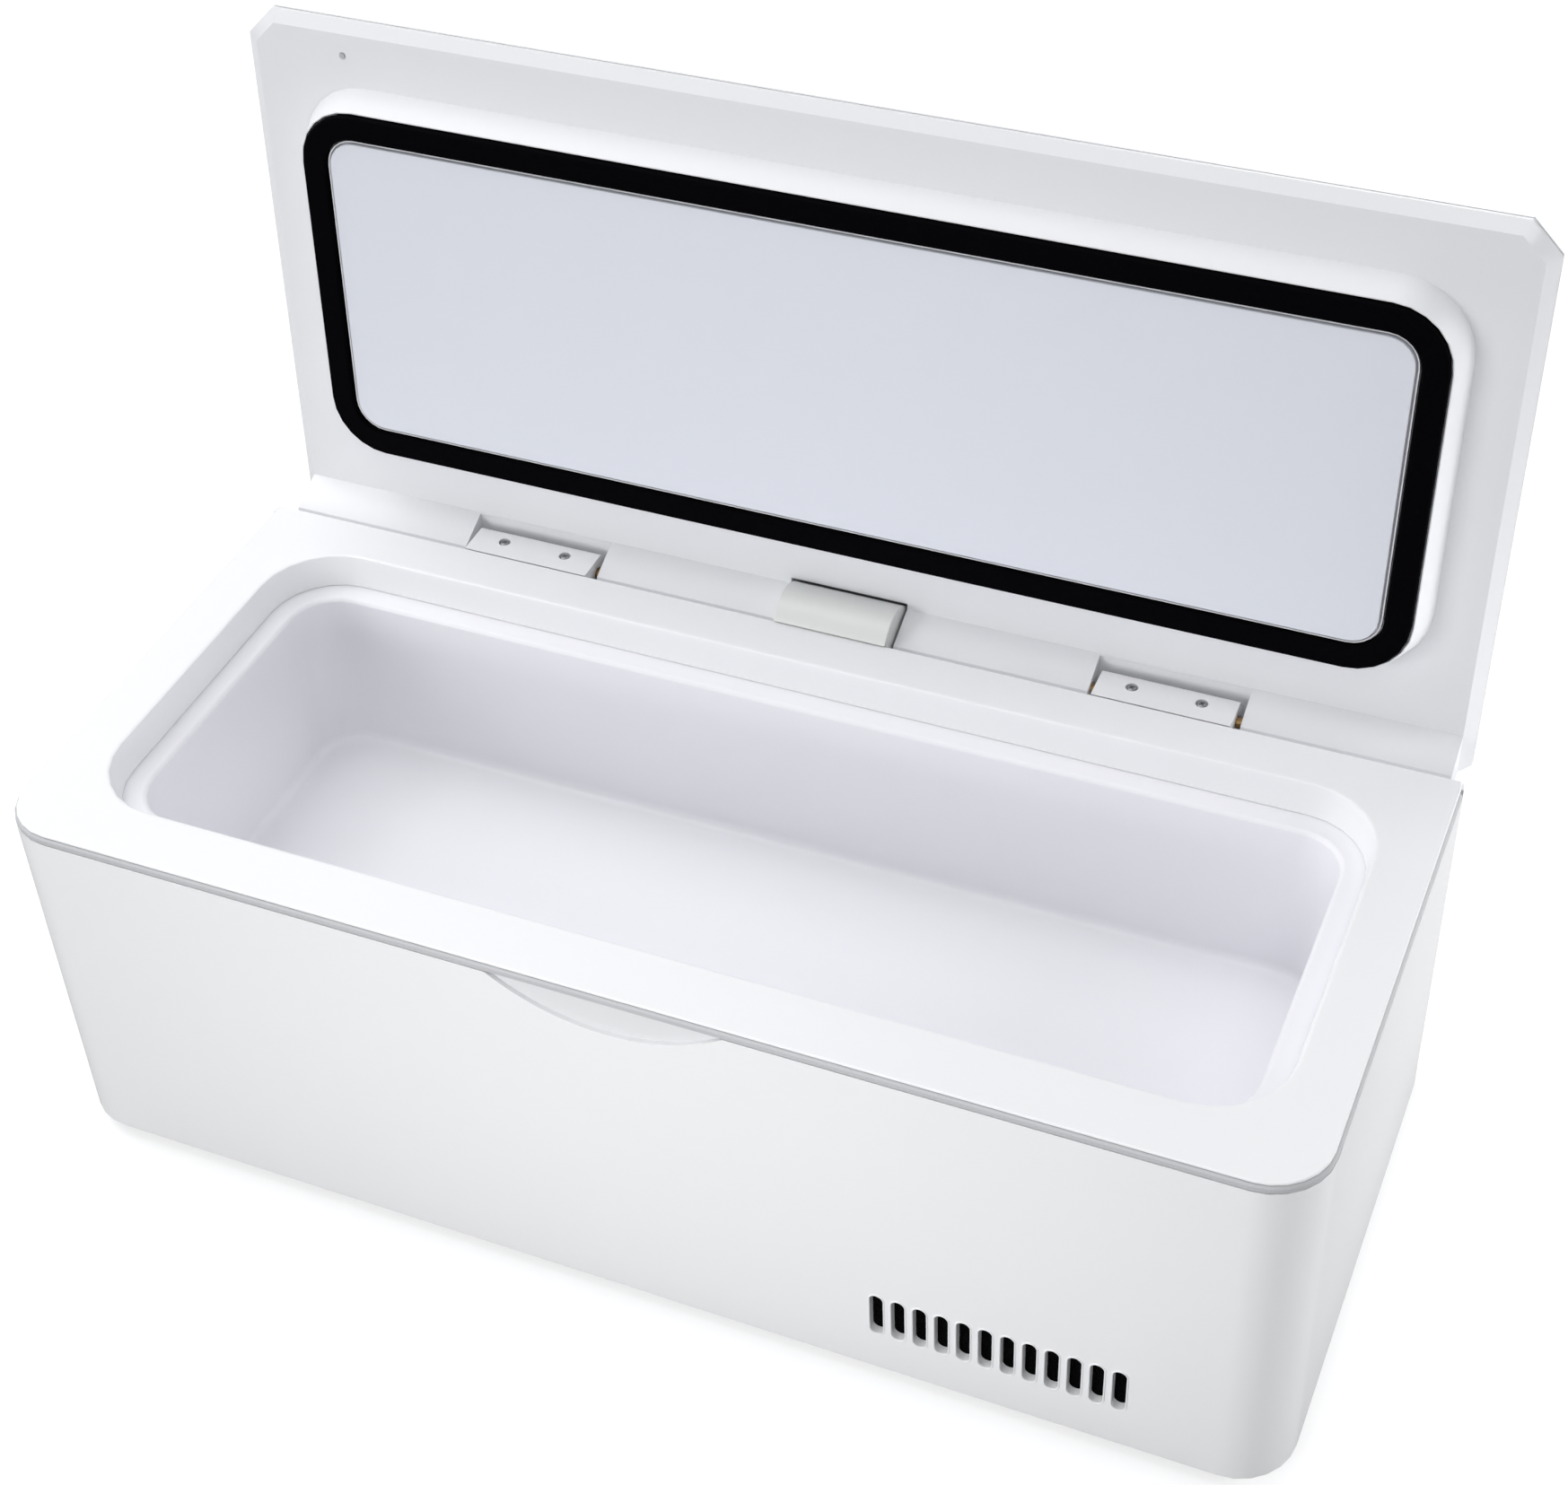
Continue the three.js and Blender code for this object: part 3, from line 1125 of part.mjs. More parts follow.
// The case stands on the middle of its own outline: the origin lies under the centre of its box
const assembly = new THREE.Group();
assembly.add(coolingCase);
assembly.updateMatrixWorld(true);
const restBox = new THREE.Box3().setFromObject(assembly, true);
coolingCase.position.y = -(restBox.min.y + restBox.max.y) / 2;

export default assembly;
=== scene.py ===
"""Looks of an insulin cooling case: soft moulded edges, finishes, small fittings, light and camera.

Metres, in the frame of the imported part: X along the case, Y from its front to its hinge, Z up.
"""

import json
import math

import bmesh
import bpy
from mathutils import Matrix, Vector


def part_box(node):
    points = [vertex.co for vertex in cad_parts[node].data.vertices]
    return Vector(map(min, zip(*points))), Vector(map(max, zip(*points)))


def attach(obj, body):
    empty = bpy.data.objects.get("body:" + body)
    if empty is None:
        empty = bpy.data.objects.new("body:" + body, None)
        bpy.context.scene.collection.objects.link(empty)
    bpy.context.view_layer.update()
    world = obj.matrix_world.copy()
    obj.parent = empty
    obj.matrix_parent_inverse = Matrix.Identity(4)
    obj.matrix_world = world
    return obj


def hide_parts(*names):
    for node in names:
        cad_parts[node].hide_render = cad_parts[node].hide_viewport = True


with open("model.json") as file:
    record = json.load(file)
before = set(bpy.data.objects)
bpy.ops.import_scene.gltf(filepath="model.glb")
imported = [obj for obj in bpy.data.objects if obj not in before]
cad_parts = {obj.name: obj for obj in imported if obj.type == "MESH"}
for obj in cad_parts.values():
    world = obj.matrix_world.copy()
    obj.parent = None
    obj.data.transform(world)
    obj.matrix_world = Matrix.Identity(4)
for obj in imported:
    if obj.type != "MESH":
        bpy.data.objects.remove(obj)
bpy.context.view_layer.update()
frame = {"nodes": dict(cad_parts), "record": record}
NODES = frame["nodes"]
MM = 0.001

# Camera, as the photograph was taken: angles in radians, lens and sensor in millimetres
CAMERA_AT = Vector((145.9, -309.07, 373.7)) * MM
CAMERA_AZIMUTH = 0.428
CAMERA_ELEVATION = 0.72
CAMERA_ROLL = -0.049
CAMERA_LENS = 63.5
SENSOR_WIDTH = 36
CLIP_NEAR = 0.01
CLIP_FAR = 50

# Light. The camera alone sees ROOM_SHOWN and FLOOR_GLOW: the backdrop is pale, and the case keeps
# its shading.
ROOM_COLOUR = (0.94, 0.95, 0.97, 1)
ROOM_STRENGTH = 0.05
ROOM_SHOWN = 0.72
FLOOR_COLOUR = (0.4, 0.402, 0.406, 1)
FLOOR_GLOW_COLOUR = (0.99, 0.995, 1, 1)
FLOOR_GLOW = 0.66
FLOOR_ROUGHNESS = 0.7
FLOOR_SIDE = 12
SOFTBOXES = [
    # name, place, aim, width, height, watts, whether glossy faces mirror it
    ("overhead_softbox", (0, 0, 1.25), (0, 0, 0.05), 1.1, 0.9, 2.7, True),
    ("left_overhead_softbox", (-0.45, 0, 0.9), (0, 0, 0.05), 0.6, 0.6, 2.6, True),
    ("left_softbox", (-0.9, 0.1, 0.7), (0, 0, 0.05), 0.6, 0.6, 3.2, True),
    ("front_left_softbox", (-0.7, -1.0, 0.4), (0, 0, 0.06), 0.5, 0.4, 4.7, True),
    ("front_top_softbox", (0.3, -0.8, 1.1), (0, 0, 0.06), 0.7, 0.7, 3.5, True),
    ("front_softbox", (0.01, -0.27, 0.09), (0, -0.05, 0.045), 0.1, 0.06, 0.18, False),
    ("right_softbox", (1.05, 0.2, 0.5), (0, 0, 0.06), 0.5, 0.5, 3.5, True),
    ("low_right_softbox", (0.28, 0.05, 0.06), (0.11, 0.005, 0.045), 0.06, 0.05, 0.23, False),
    ("rear_left_softbox", (-0.6, 0.6, 0.9), (0, 0, 0.06), 0.6, 0.6, 2.1, True),
    ("rear_softbox", (0.2, 1.3, 0.7), (0, 0, 0.1), 1.0, 0.6, 4.5, True),
]


def make_camera():
    data = bpy.data.cameras.new("photo_camera")
    data.lens = CAMERA_LENS
    data.sensor_width = SENSOR_WIDTH
    data.clip_start = CLIP_NEAR
    data.clip_end = CLIP_FAR
    camera = bpy.data.objects.new("photo_camera", data)
    bpy.context.scene.collection.objects.link(camera)
    level = math.cos(CAMERA_ELEVATION)
    back = Vector(
        (
            math.sin(CAMERA_AZIMUTH) * level,
            -math.cos(CAMERA_AZIMUTH) * level,
            math.sin(CAMERA_ELEVATION),
        )
    )
    right = Vector((math.cos(CAMERA_AZIMUTH), math.sin(CAMERA_AZIMUTH), 0))
    up = back.cross(right)
    turned_right = math.cos(CAMERA_ROLL) * right + math.sin(CAMERA_ROLL) * up
    turned_up = math.cos(CAMERA_ROLL) * up - math.sin(CAMERA_ROLL) * right
    axes = Matrix((turned_right, turned_up, back)).transposed()
    camera.matrix_world = Matrix.Translation(CAMERA_AT) @ axes.to_4x4()
    bpy.context.scene.camera = camera


def make_light():
    world = bpy.data.worlds.new("studio_room")
    world.use_nodes = True
    background = world.node_tree.nodes["Background"]
    background.inputs["Color"].default_value = ROOM_COLOUR
    shown = add(world.node_tree, "ShaderNodeLightPath").outputs["Is Camera Ray"]
    strength = add(
        world.node_tree,
        "ShaderNodeMix",
        {"Factor": shown, FLOAT_A: ROOM_STRENGTH, FLOAT_B: ROOM_SHOWN},
    )
    world.node_tree.links.new(strength.outputs[0], background.inputs["Strength"])
    bpy.context.scene.world = world
    for name, place, aim, width, height, watts, mirrored in SOFTBOXES:
        data = bpy.data.lights.new(name, "AREA")
        data.shape = "RECTANGLE"
        data.size = width
        data.size_y = height
        data.energy = watts
        lamp = bpy.data.objects.new(name, data)
        lamp.location = place
        lamp.rotation_euler = (Vector(aim) - Vector(place)).to_track_quat("-Z", "Y").to_euler()
        lamp.visible_camera = False
        lamp.visible_glossy = mirrored
        bpy.context.scene.collection.objects.link(lamp)


def make_floor():
    """A pale floor that looks white and throws little light back on the case."""
    mesh = bpy.data.meshes.new("studio_floor")
    half = FLOOR_SIDE / 2
    corners = [(-half, -half, 0), (half, -half, 0), (half, half, 0), (-half, half, 0)]
    mesh.from_pydata(corners, [], [(0, 1, 2, 3)])
    floor = as_piece("studio_floor", mesh)
    material, tree, shader = new_material("studio_floor")
    shown = add(tree, "ShaderNodeLightPath").outputs["Is Camera Ray"]
    glow = add(tree, "ShaderNodeMath", {0: shown, 1: FLOOR_GLOW}, operation="MULTIPLY")
    tree.links.new(glow.outputs[0], shader.inputs["Emission Strength"])
    shader.inputs["Base Color"].default_value = FLOOR_COLOUR
    shader.inputs["Emission Color"].default_value = FLOOR_GLOW_COLOUR
    shader.inputs["Roughness"].default_value = FLOOR_ROUGHNESS
    mesh.materials.append(material)


# Shader groups


def new_group(name, inputs, outputs):
    """A shader group with named sockets; each input is (name, kind, default)."""
    tree = bpy.data.node_groups.new(name, "ShaderNodeTree")
    for label, kind, value in inputs:
        socket = tree.interface.new_socket(label, in_out="INPUT", socket_type=kind)
        socket.default_value = value
    for label, kind in outputs:
        tree.interface.new_socket(label, in_out="OUTPUT", socket_type=kind)
    return tree, tree.nodes.new("NodeGroupInput"), tree.nodes.new("NodeGroupOutput")


def add(tree, kind, links=None, **settings):
    """A node with its settings, and its inputs linked to sockets or set to values."""
    node = tree.nodes.new(kind)
    for key, value in settings.items():
        setattr(node, key, value)
    for key, value in (links or {}).items():
        if isinstance(value, bpy.types.NodeSocket):
            tree.links.new(value, node.inputs[key])
        else:
            node.inputs[key].default_value = value
    return node


FLOAT = "NodeSocketFloat"
COLOUR = "NodeSocketColor"
# Sockets of the Mix node, by number because its names repeat
FLOAT_A, FLOAT_B = 2, 3
COLOUR_A, COLOUR_B = 6, 7
MIXED_COLOUR = 2
NOISE_MIDDLE = 0.5
LINE_STRETCH = (1, 40, 40)


def moulded_skin_group():
    """Slow drift of colour and gloss over a moulding, and the fine grain of its tool."""
    tree, given, result = new_group(
        "moulded_skin",
        [
            ("Colour", COLOUR, (0.8, 0.8, 0.8, 1)),
            ("Drift Colour", COLOUR, (0.7, 0.7, 0.7, 1)),
            ("Drift", FLOAT, 0.3),
            ("Drift Scale", FLOAT, 14),
            ("Roughness", FLOAT, 0.35),
            ("Roughness Spread", FLOAT, 0.08),
            ("Grain Scale", FLOAT, 1800),
        ],
        [("Colour", COLOUR), ("Roughness", FLOAT), ("Height", FLOAT)],
    )
    place = add(tree, "ShaderNodeTexCoord").outputs["Object"]
    drift = add(
        tree,
        "ShaderNodeTexNoise",
        {"Vector": place, "Scale": given.outputs["Drift Scale"], "Detail": 3, "Roughness": 0.55},
    ).outputs["Fac"]
    share = add(
        tree,
        "ShaderNodeMath",
        {0: drift, 1: given.outputs["Drift"]},
        operation="MULTIPLY",
    ).outputs[0]
    mixed = add(
        tree,
        "ShaderNodeMix",
        {
            "Factor": share,
            COLOUR_A: given.outputs["Colour"],
            COLOUR_B: given.outputs["Drift Colour"],
        },
        data_type="RGBA",
    ).outputs[MIXED_COLOUR]
    grain = add(
        tree,
        "ShaderNodeTexNoise",
        {"Vector": place, "Scale": given.outputs["Grain Scale"], "Detail": 4, "Roughness": 0.6},
    ).outputs["Fac"]
    centred = add(
        tree,
        "ShaderNodeMath",
        {0: drift, 1: NOISE_MIDDLE},
        operation="SUBTRACT",
    ).outputs[0]
    rough = add(
        tree,
        "ShaderNodeMath",
        {0: centred, 1: given.outputs["Roughness Spread"], 2: given.outputs["Roughness"]},
        operation="MULTIPLY_ADD",
    ).outputs[0]
    tree.links.new(mixed, result.inputs["Colour"])
    tree.links.new(rough, result.inputs["Roughness"])
    tree.links.new(grain, result.inputs["Height"])
    return tree


def drawn_metal_group():
    """Lines left by drawing or turning a metal piece, along X."""
    tree, given, result = new_group(
        "drawn_metal",
        [
            ("Colour", COLOUR, (0.7, 0.7, 0.7, 1)),
            ("Line Scale", FLOAT, 60),
            ("Roughness", FLOAT, 0.3),
            ("Roughness Spread", FLOAT, 0.15),
        ],
        [("Colour", COLOUR), ("Roughness", FLOAT), ("Height", FLOAT)],
    )
    place = add(tree, "ShaderNodeTexCoord").outputs["Object"]
    stretched = add(tree, "ShaderNodeMapping", {"Vector": place, "Scale": LINE_STRETCH}).outputs[0]
    lines = add(
        tree,
        "ShaderNodeTexNoise",
        {"Vector": stretched, "Scale": given.outputs["Line Scale"], "Detail": 3},
    ).outputs["Fac"]
    shade = add(
        tree,
        "ShaderNodeMapRange",
        {"Value": lines, "To Min": 0.82, "To Max": 1.1},
    ).outputs[0]
    tinted = add(
        tree,
        "ShaderNodeMix",
        {"Factor": 1, COLOUR_A: given.outputs["Colour"], COLOUR_B: shade},
        data_type="RGBA",
        blend_type="MULTIPLY",
    ).outputs[MIXED_COLOUR]
    rough = add(
        tree,
        "ShaderNodeMath",
        {0: lines, 1: given.outputs["Roughness Spread"], 2: given.outputs["Roughness"]},
        operation="MULTIPLY_ADD",
    ).outputs[0]
    tree.links.new(tinted, result.inputs["Colour"])
    tree.links.new(rough, result.inputs["Roughness"])
    tree.links.new(lines, result.inputs["Height"])
    return tree


def cells_group():
    """Small cells of foam or of a filter mat, with walls of another colour."""
    tree, given, result = new_group(
        "cells",
        [
            ("Colour", COLOUR, (0.8, 0.8, 0.7, 1)),
            ("Wall Colour", COLOUR, (0.6, 0.6, 0.5, 1)),
            ("Scale", FLOAT, 600),
        ],
        [("Colour", COLOUR), ("Height", FLOAT)],
    )
    place = add(tree, "ShaderNodeTexCoord").outputs["Object"]
    cell = add(
        tree,
        "ShaderNodeTexVoronoi",
        {"Vector": place, "Scale": given.outputs["Scale"]},
        feature="DISTANCE_TO_EDGE",
    ).outputs["Distance"]
    wall = add(tree, "ShaderNodeMapRange", {"Value": cell, "From Max": 0.25}).outputs[0]
    mixed = add(
        tree,
        "ShaderNodeMix",
        {
            "Factor": wall,
            COLOUR_A: given.outputs["Wall Colour"],
            COLOUR_B: given.outputs["Colour"],
        },
        data_type="RGBA",
    ).outputs[MIXED_COLOUR]
    tree.links.new(mixed, result.inputs["Colour"])
    tree.links.new(wall, result.inputs["Height"])
    return tree


MOULDED_SKIN = moulded_skin_group()
DRAWN_METAL = drawn_metal_group()
CELLS = cells_group()


def new_material(name):
    material = bpy.data.materials.new(name)
    material.use_nodes = True
    tree = material.node_tree
    return material, tree, tree.nodes["Principled BSDF"]


def place_group(tree, group, values):
    node = tree.nodes.new("ShaderNodeGroup")
    node.node_tree = group
    for key, value in values.items():
        node.inputs[key].default_value = value
    return node


# Finishes. Each bump is a strength and a depth in millimetres; a plastic has its own depth.
GRAIN_STRENGTH = 0.2
COAT_ROUGHNESS = 0.12
RUBBER_BUMP = (0.4, 0.05)
METAL_BUMP = (0.2, 0.03)
FOAM_BUMP = (0.5, 0.2)
FOAM_ROUGHNESS = 0.9
BOARD_BUMP = (0.3, 0.05)
BOARD_ROUGHNESS = 0.35
MASK_LIGHTER = 1.25  # every other patch of a board's solder mask


def bump(tree, shader, height, strength, depth):
    node = add(
        tree,
        "ShaderNodeBump",
        {"Height": height, "Strength": strength, "Distance": depth * MM},
    )
    tree.links.new(node.outputs[0], shader.inputs["Normal"])


def rgba(colour):
    return (*colour, 1)


def plastic(name, colour, drift_colour, rough, spread, grain, grain_depth, coat):
    """Moulded plastic: colour and gloss drift slowly, and the tool's grain lies on top."""
    material, tree, shader = new_material(name)
    skin = place_group(
        tree,
        MOULDED_SKIN,
        {
            "Colour": rgba(colour),
            "Drift Colour": rgba(drift_colour),
            "Roughness": rough,
            "Roughness Spread": spread,
            "Grain Scale": grain,
        },
    )
    tree.links.new(skin.outputs["Colour"], shader.inputs["Base Color"])
    tree.links.new(skin.outputs["Roughness"], shader.inputs["Roughness"])
    shader.inputs["Coat Weight"].default_value = coat
    shader.inputs["Coat Roughness"].default_value = COAT_ROUGHNESS
    bump(tree, shader, skin.outputs["Height"], GRAIN_STRENGTH, grain_depth)
    return material


def rubber(name, colour, drift_colour, rough, grain, shine):
    """Rubber, blotchy and dull."""
    material, tree, shader = new_material(name)
    skin = place_group(
        tree,
        MOULDED_SKIN,
        {
            "Colour": rgba(colour),
            "Drift Colour": rgba(drift_colour),
            "Drift": 0.6,
            "Drift Scale": 60,
            "Roughness": rough,
            "Roughness Spread": 0.2,
            "Grain Scale": grain,
        },
    )
    tree.links.new(skin.outputs["Colour"], shader.inputs["Base Color"])
    tree.links.new(skin.outputs["Roughness"], shader.inputs["Roughness"])
    shader.inputs["Specular IOR Level"].default_value = shine
    bump(tree, shader, skin.outputs["Height"], *RUBBER_BUMP)
    return material


def foam(name, colour, wall_colour, scale, shine):
    """Foam or a filter mat, dull, with small cells."""
    material, tree, shader = new_material(name)
    cells = place_group(
        tree,
        CELLS,
        {"Colour": rgba(colour), "Wall Colour": rgba(wall_colour), "Scale": scale},
    )
    tree.links.new(cells.outputs["Colour"], shader.inputs["Base Color"])
    shader.inputs["Roughness"].default_value = FOAM_ROUGHNESS
    shader.inputs["Specular IOR Level"].default_value = shine
    bump(tree, shader, cells.outputs["Height"], *FOAM_BUMP)
    return material


def metal(name, colour, rough, line_scale):
    """Drawn or turned metal."""
    material, tree, shader = new_material(name)
    drawn = place_group(
        tree,
        DRAWN_METAL,
        {"Colour": rgba(colour), "Roughness": rough, "Line Scale": line_scale},
    )
    tree.links.new(drawn.outputs["Colour"], shader.inputs["Base Color"])
    tree.links.new(drawn.outputs["Roughness"], shader.inputs["Roughness"])
    shader.inputs["Metallic"].default_value = 1
    bump(tree, shader, drawn.outputs["Height"], *METAL_BUMP)
    return material


def circuit_board(name, colour, copper):
    """Solder mask over tracks that run along and across the board."""
    material, tree, shader = new_material(name)
    place = add(tree, "ShaderNodeTexCoord").outputs["Object"]
    tracks = add(
        tree,
        "ShaderNodeTexBrick",
        {
            "Vector": place,
            "Color1": rgba(colour),
            "Color2": rgba([value * MASK_LIGHTER for value in colour]),
            "Mortar": rgba(copper),
            "Scale": 160,
            "Mortar Size": 0.03,
        },
    )
    tree.links.new(tracks.outputs["Color"], shader.inputs["Base Color"])
    shader.inputs["Roughness"].default_value = BOARD_ROUGHNESS
    bump(tree, shader, tracks.outputs["Fac"], *BOARD_BUMP)
    return material


# Colour, colour it drifts to, roughness, its spread, grain scale, grain depth in millimetres, coat
PLASTICS = {
    "case_white": ((0.89, 0.897, 0.912), (0.855, 0.865, 0.885), 0.3, 0.1, 1500, 0.006, 0.25),
    # The scoop's finish: finer, rougher grain, and a colour darker than the case's, which is
    # painted shade for the recess under the deck's edge.
    "scoop_grain": ((0.77, 0.775, 0.79), (0.745, 0.75, 0.77), 0.45, 0.1, 2400, 0.02, 0),
    "deck_white": ((0.87, 0.877, 0.893), (0.83, 0.84, 0.865), 0.36, 0.1, 1500, 0.006, 0.1),
    "lid_white": ((0.84, 0.848, 0.872), (0.8, 0.81, 0.84), 0.34, 0.1, 1500, 0.006, 0.1),
    "tray_white": ((0.87, 0.87, 0.905), (0.83, 0.835, 0.88), 0.4, 0.1, 1800, 0.006, 0),
    "base_white": ((0.78, 0.785, 0.795), (0.72, 0.725, 0.74), 0.5, 0.12, 900, 0.05, 0),
    "hinge_white": ((0.86, 0.86, 0.875), (0.82, 0.82, 0.845), 0.36, 0.1, 1800, 0.008, 0),
    # The drum's own grey-green tone, made darker still to stand in for the shade under the lid's
    # band: partly painted shade.
    "drum_grey": ((0.72, 0.73, 0.72), (0.66, 0.67, 0.66), 0.34, 0.1, 1800, 0.008, 0),
    "panel_grey": ((0.78, 0.805, 0.87), (0.745, 0.77, 0.84), 0.4, 0.08, 1200, 0.004, 0),
    "button_grey": ((0.7, 0.715, 0.745), (0.64, 0.655, 0.69), 0.38, 0.1, 2200, 0.02, 0),
    "ceramic": ((0.85, 0.85, 0.82), (0.78, 0.78, 0.75), 0.55, 0.1, 2500, 0.03, 0),
    "fan_black": ((0.018, 0.018, 0.02), (0.03, 0.03, 0.032), 0.45, 0.12, 1500, 0.03, 0),
    "cell_wrap": ((0.04, 0.15, 0.35), (0.05, 0.2, 0.42), 0.3, 0.1, 900, 0.02, 0.3),
    "display_lens": ((0.012, 0.013, 0.016), (0.016, 0.018, 0.022), 0.08, 0.06, 3000, 0.002, 0.6),
    "display_glass": ((0.17, 0.21, 0.17), (0.15, 0.19, 0.15), 0.3, 0.05, 2600, 0.004, 0),
}
# Colour, colour it drifts to, roughness, grain scale, shine
RUBBERS = {
    # A mid-grey strip set under the deck's edge, standing in for the shadow in the seam: painted
    # shade.
    "strip_grey": ((0.535, 0.54, 0.557), (0.49, 0.495, 0.518), 0.55, 1800, 0.3),
    "gasket_rubber": ((0.0012, 0.0011, 0.0018), (0.0018, 0.0016, 0.0025), 0.7, 2400, 0.02),
    "foot_rubber": ((0.02, 0.02, 0.021), (0.035, 0.035, 0.036), 0.75, 2000, 0.3),
}
# Colour of the cells, colour of their walls, cell scale, shine
FOAMS = {
    "foam": ((0.8, 0.77, 0.67), (0.6, 0.57, 0.48), 600, 0.3),
    # The filter mat behind the vent slots is partly a real part; its near-black colour is painted
    # shade, so that the slots read dark like the case's shaded inside.
    "filter_black": ((0.0012, 0.0012, 0.0014), (0.004, 0.004, 0.0045), 1600, 0.02),
}
# Colour, roughness, scale of the lines
METALS = {
    "aluminium": ((0.72, 0.73, 0.74), 0.32, 40),
    "steel": ((0.36, 0.365, 0.375), 0.34, 70),
    "pin_brass": ((0.42, 0.27, 0.12), 0.34, 70),
}
# Colour of the solder mask, colour of the tracks under it
BOARDS = {"circuit_board": ((0.015, 0.12, 0.06), (0.05, 0.22, 0.1))}

MATERIALS = {
    name: make(name, *values)
    for make, finishes in (
        (plastic, PLASTICS),
        (rubber, RUBBERS),
        (foam, FOAMS),
        (metal, METALS),
        (circuit_board, BOARDS),
    )
    for name, values in finishes.items()
}

SLOTS = {part["node"]: part["material_slot"] for part in frame["record"]["subparts"]}
BODY_OF = {
    node: body for body, nodes in frame["record"]["behaviour"]["bodies"].items() for node in nodes
}


def dress(piece, *nodes):
    """Puts a piece in the place of CAD nodes: same body, the material of their slot, and hides the
    nodes.
    """
    first = nodes[0]
    piece.data.materials.clear()
    piece.data.materials.append(MATERIALS[SLOTS[first]])
    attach(piece, BODY_OF[first])
    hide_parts(*nodes)


def as_piece(name, mesh):
    piece = bpy.data.objects.new(name, mesh)
    bpy.context.scene.collection.objects.link(piece)
    return piece


# Mouldings: name, CAD node, edge radius in millimetres, steps of the rounding, least angle that is
# rounded, in degrees. Where short edges leave no room, the rounding narrows to a hairline.
MOULDINGS = [
    ("case_moulding", "body_shell", 0.35, 3, 50),
    ("deck_moulding", "top_frame", 0.15, 2, 40),
    # The grey strip under the deck's edge stands in for the seam's shadow: painted shade.
    ("seam_strip", "deck_strip", 0.12, 2, 40),
    ("tray_moulding", "cavity_liner", 0.4, 3, 40),
    ("lid_rim_moulding", "lid_inner_frame", 0.3, 3, 32),
    ("lid_top_moulding", "lid_shell", 0.35, 3, 32),
    ("lid_seal", "gasket", 0.45, 4, 40),
    ("lid_panel", "inner_panel", 0.2, 3, 40),
    ("left_hinge_block", "hinge_block_left", 0.2, 3, 40),
    ("right_hinge_block", "hinge_block_right", 0.2, 3, 40),
    ("wiring_drum", "cable_drum", 0.5, 3, 32),
    ("display_lens", "display_window", 0.25, 3, 40),
    ("power_socket", "dc_jack", 0.25, 2, 40),
    ("set_button_cap", "button_set", 0.5, 4, 40),
    ("power_button_cap", "button_power", 0.5, 4, 40),
]
FLAT_ANGLE = math.radians(0.6)
MERGE_DISTANCE = 0.004 * MM
FLATS_WEIGHT = 50


def finished_mesh(piece):
    """The piece's mesh with its modifiers applied."""
    evaluated = piece.evaluated_get(bpy.context.evaluated_depsgraph_get())
    mesh = bpy.data.meshes.new_from_object(evaluated)
    piece.modifiers.clear()
    piece.data = mesh
    mesh.name = piece.name


def moulding(name, node, radius, steps, angle):
    """A copy of a CAD solid with every hard edge rounded, as it comes from its mould."""
    shape = bmesh.new()
    shape.from_mesh(NODES[node].data)
    bmesh.ops.remove_doubles(shape, verts=shape.verts, dist=MERGE_DISTANCE)
    bmesh.ops.dissolve_limit(
        shape,
        angle_limit=FLAT_ANGLE,
        use_dissolve_boundaries=False,
        verts=shape.verts,
        edges=shape.edges,
    )
    mesh = bpy.data.meshes.new(name)
    shape.to_mesh(mesh)
    shape.free()
    mesh.shade_smooth()
    piece = as_piece(name, mesh)
    rounding = piece.modifiers.new("rounded_edges", "BEVEL")
    rounding.width = radius * MM
    rounding.segments = steps
    rounding.limit_method = "ANGLE"
    rounding.angle_limit = math.radians(angle)
    rounding.miter_outer = "MITER_ARC"
    flats = piece.modifiers.new("level_flats", "WEIGHTED_NORMAL")
    flats.mode = "FACE_AREA"
    flats.weight = FLATS_WEIGHT
    finished_mesh(piece)
    dress(piece, node)


# Finger scoop in the front wall, in millimetres: height, depth, and how near its floor a face lies.
# These pick out the floor faces that take the darker finish of painted shade.
SCOOP_HEIGHT = 6.4
SCOOP_DEPTH = 0.75
SCOOP_SLACK = 0.05


def grain_and_shade_scoop():
    """Gives the floor of the finger scoop a finer, rougher grain, and a colour darker than the
    case's: painted shade, as the deck's edge would cast into the recess.
    """
    mesh = bpy.data.objects["case_moulding"].data
    low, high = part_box("body_shell")
    mesh.materials.append(MATERIALS["scoop_grain"])
    # Index of the scoop's finish: finer grain and painted shade.
    grain = len(mesh.materials) - 1
    for face in mesh.polygons:
        depth = face.center.y - low[1]
        at_floor = abs(depth - SCOOP_DEPTH * MM) < SCOOP_SLACK * MM
        if at_floor and high[2] - face.center.z < SCOOP_HEIGHT * MM:
            face.material_index = grain


# Turned pieces and what repeats
SHARP_ANGLE = math.radians(38)
SIDES = ("left", "right")
CORNERS = [f"{row}_{side}" for row in ("front", "rear") for side in SIDES]
HINGE_ENDS = [f"{side}_{end}" for side in SIDES for end in ("outer", "inner")]

# Screws: name, CAD nodes, head radius, head height, shank radius and length in millimetres, turn
SCREW_SETS = [
    (
        "hinge_screw_set",
        [f"hinge_screw_{end}" for end in HINGE_ENDS],
        0.8,
        0.8,
        0.5,
        8.4,
        (0, 0, 0.6),
    ),
    (
        "base_screw_set",
        [f"base_screw_{corner}" for corner in CORNERS],
        2.7,
        1.5,
        1.4,
        11.5,
        (math.pi, 0, 0.3),
    ),
]
SCREW_STEPS = 28
DOME_SHARE = 0.3  # of a head's height
# A head's dome from its middle out, as shares of the head's radius and of the dome's height
DOME_PROFILE = [(0, 0), (0.45, 0.1), (0.8, 0.45), (1, 1)]
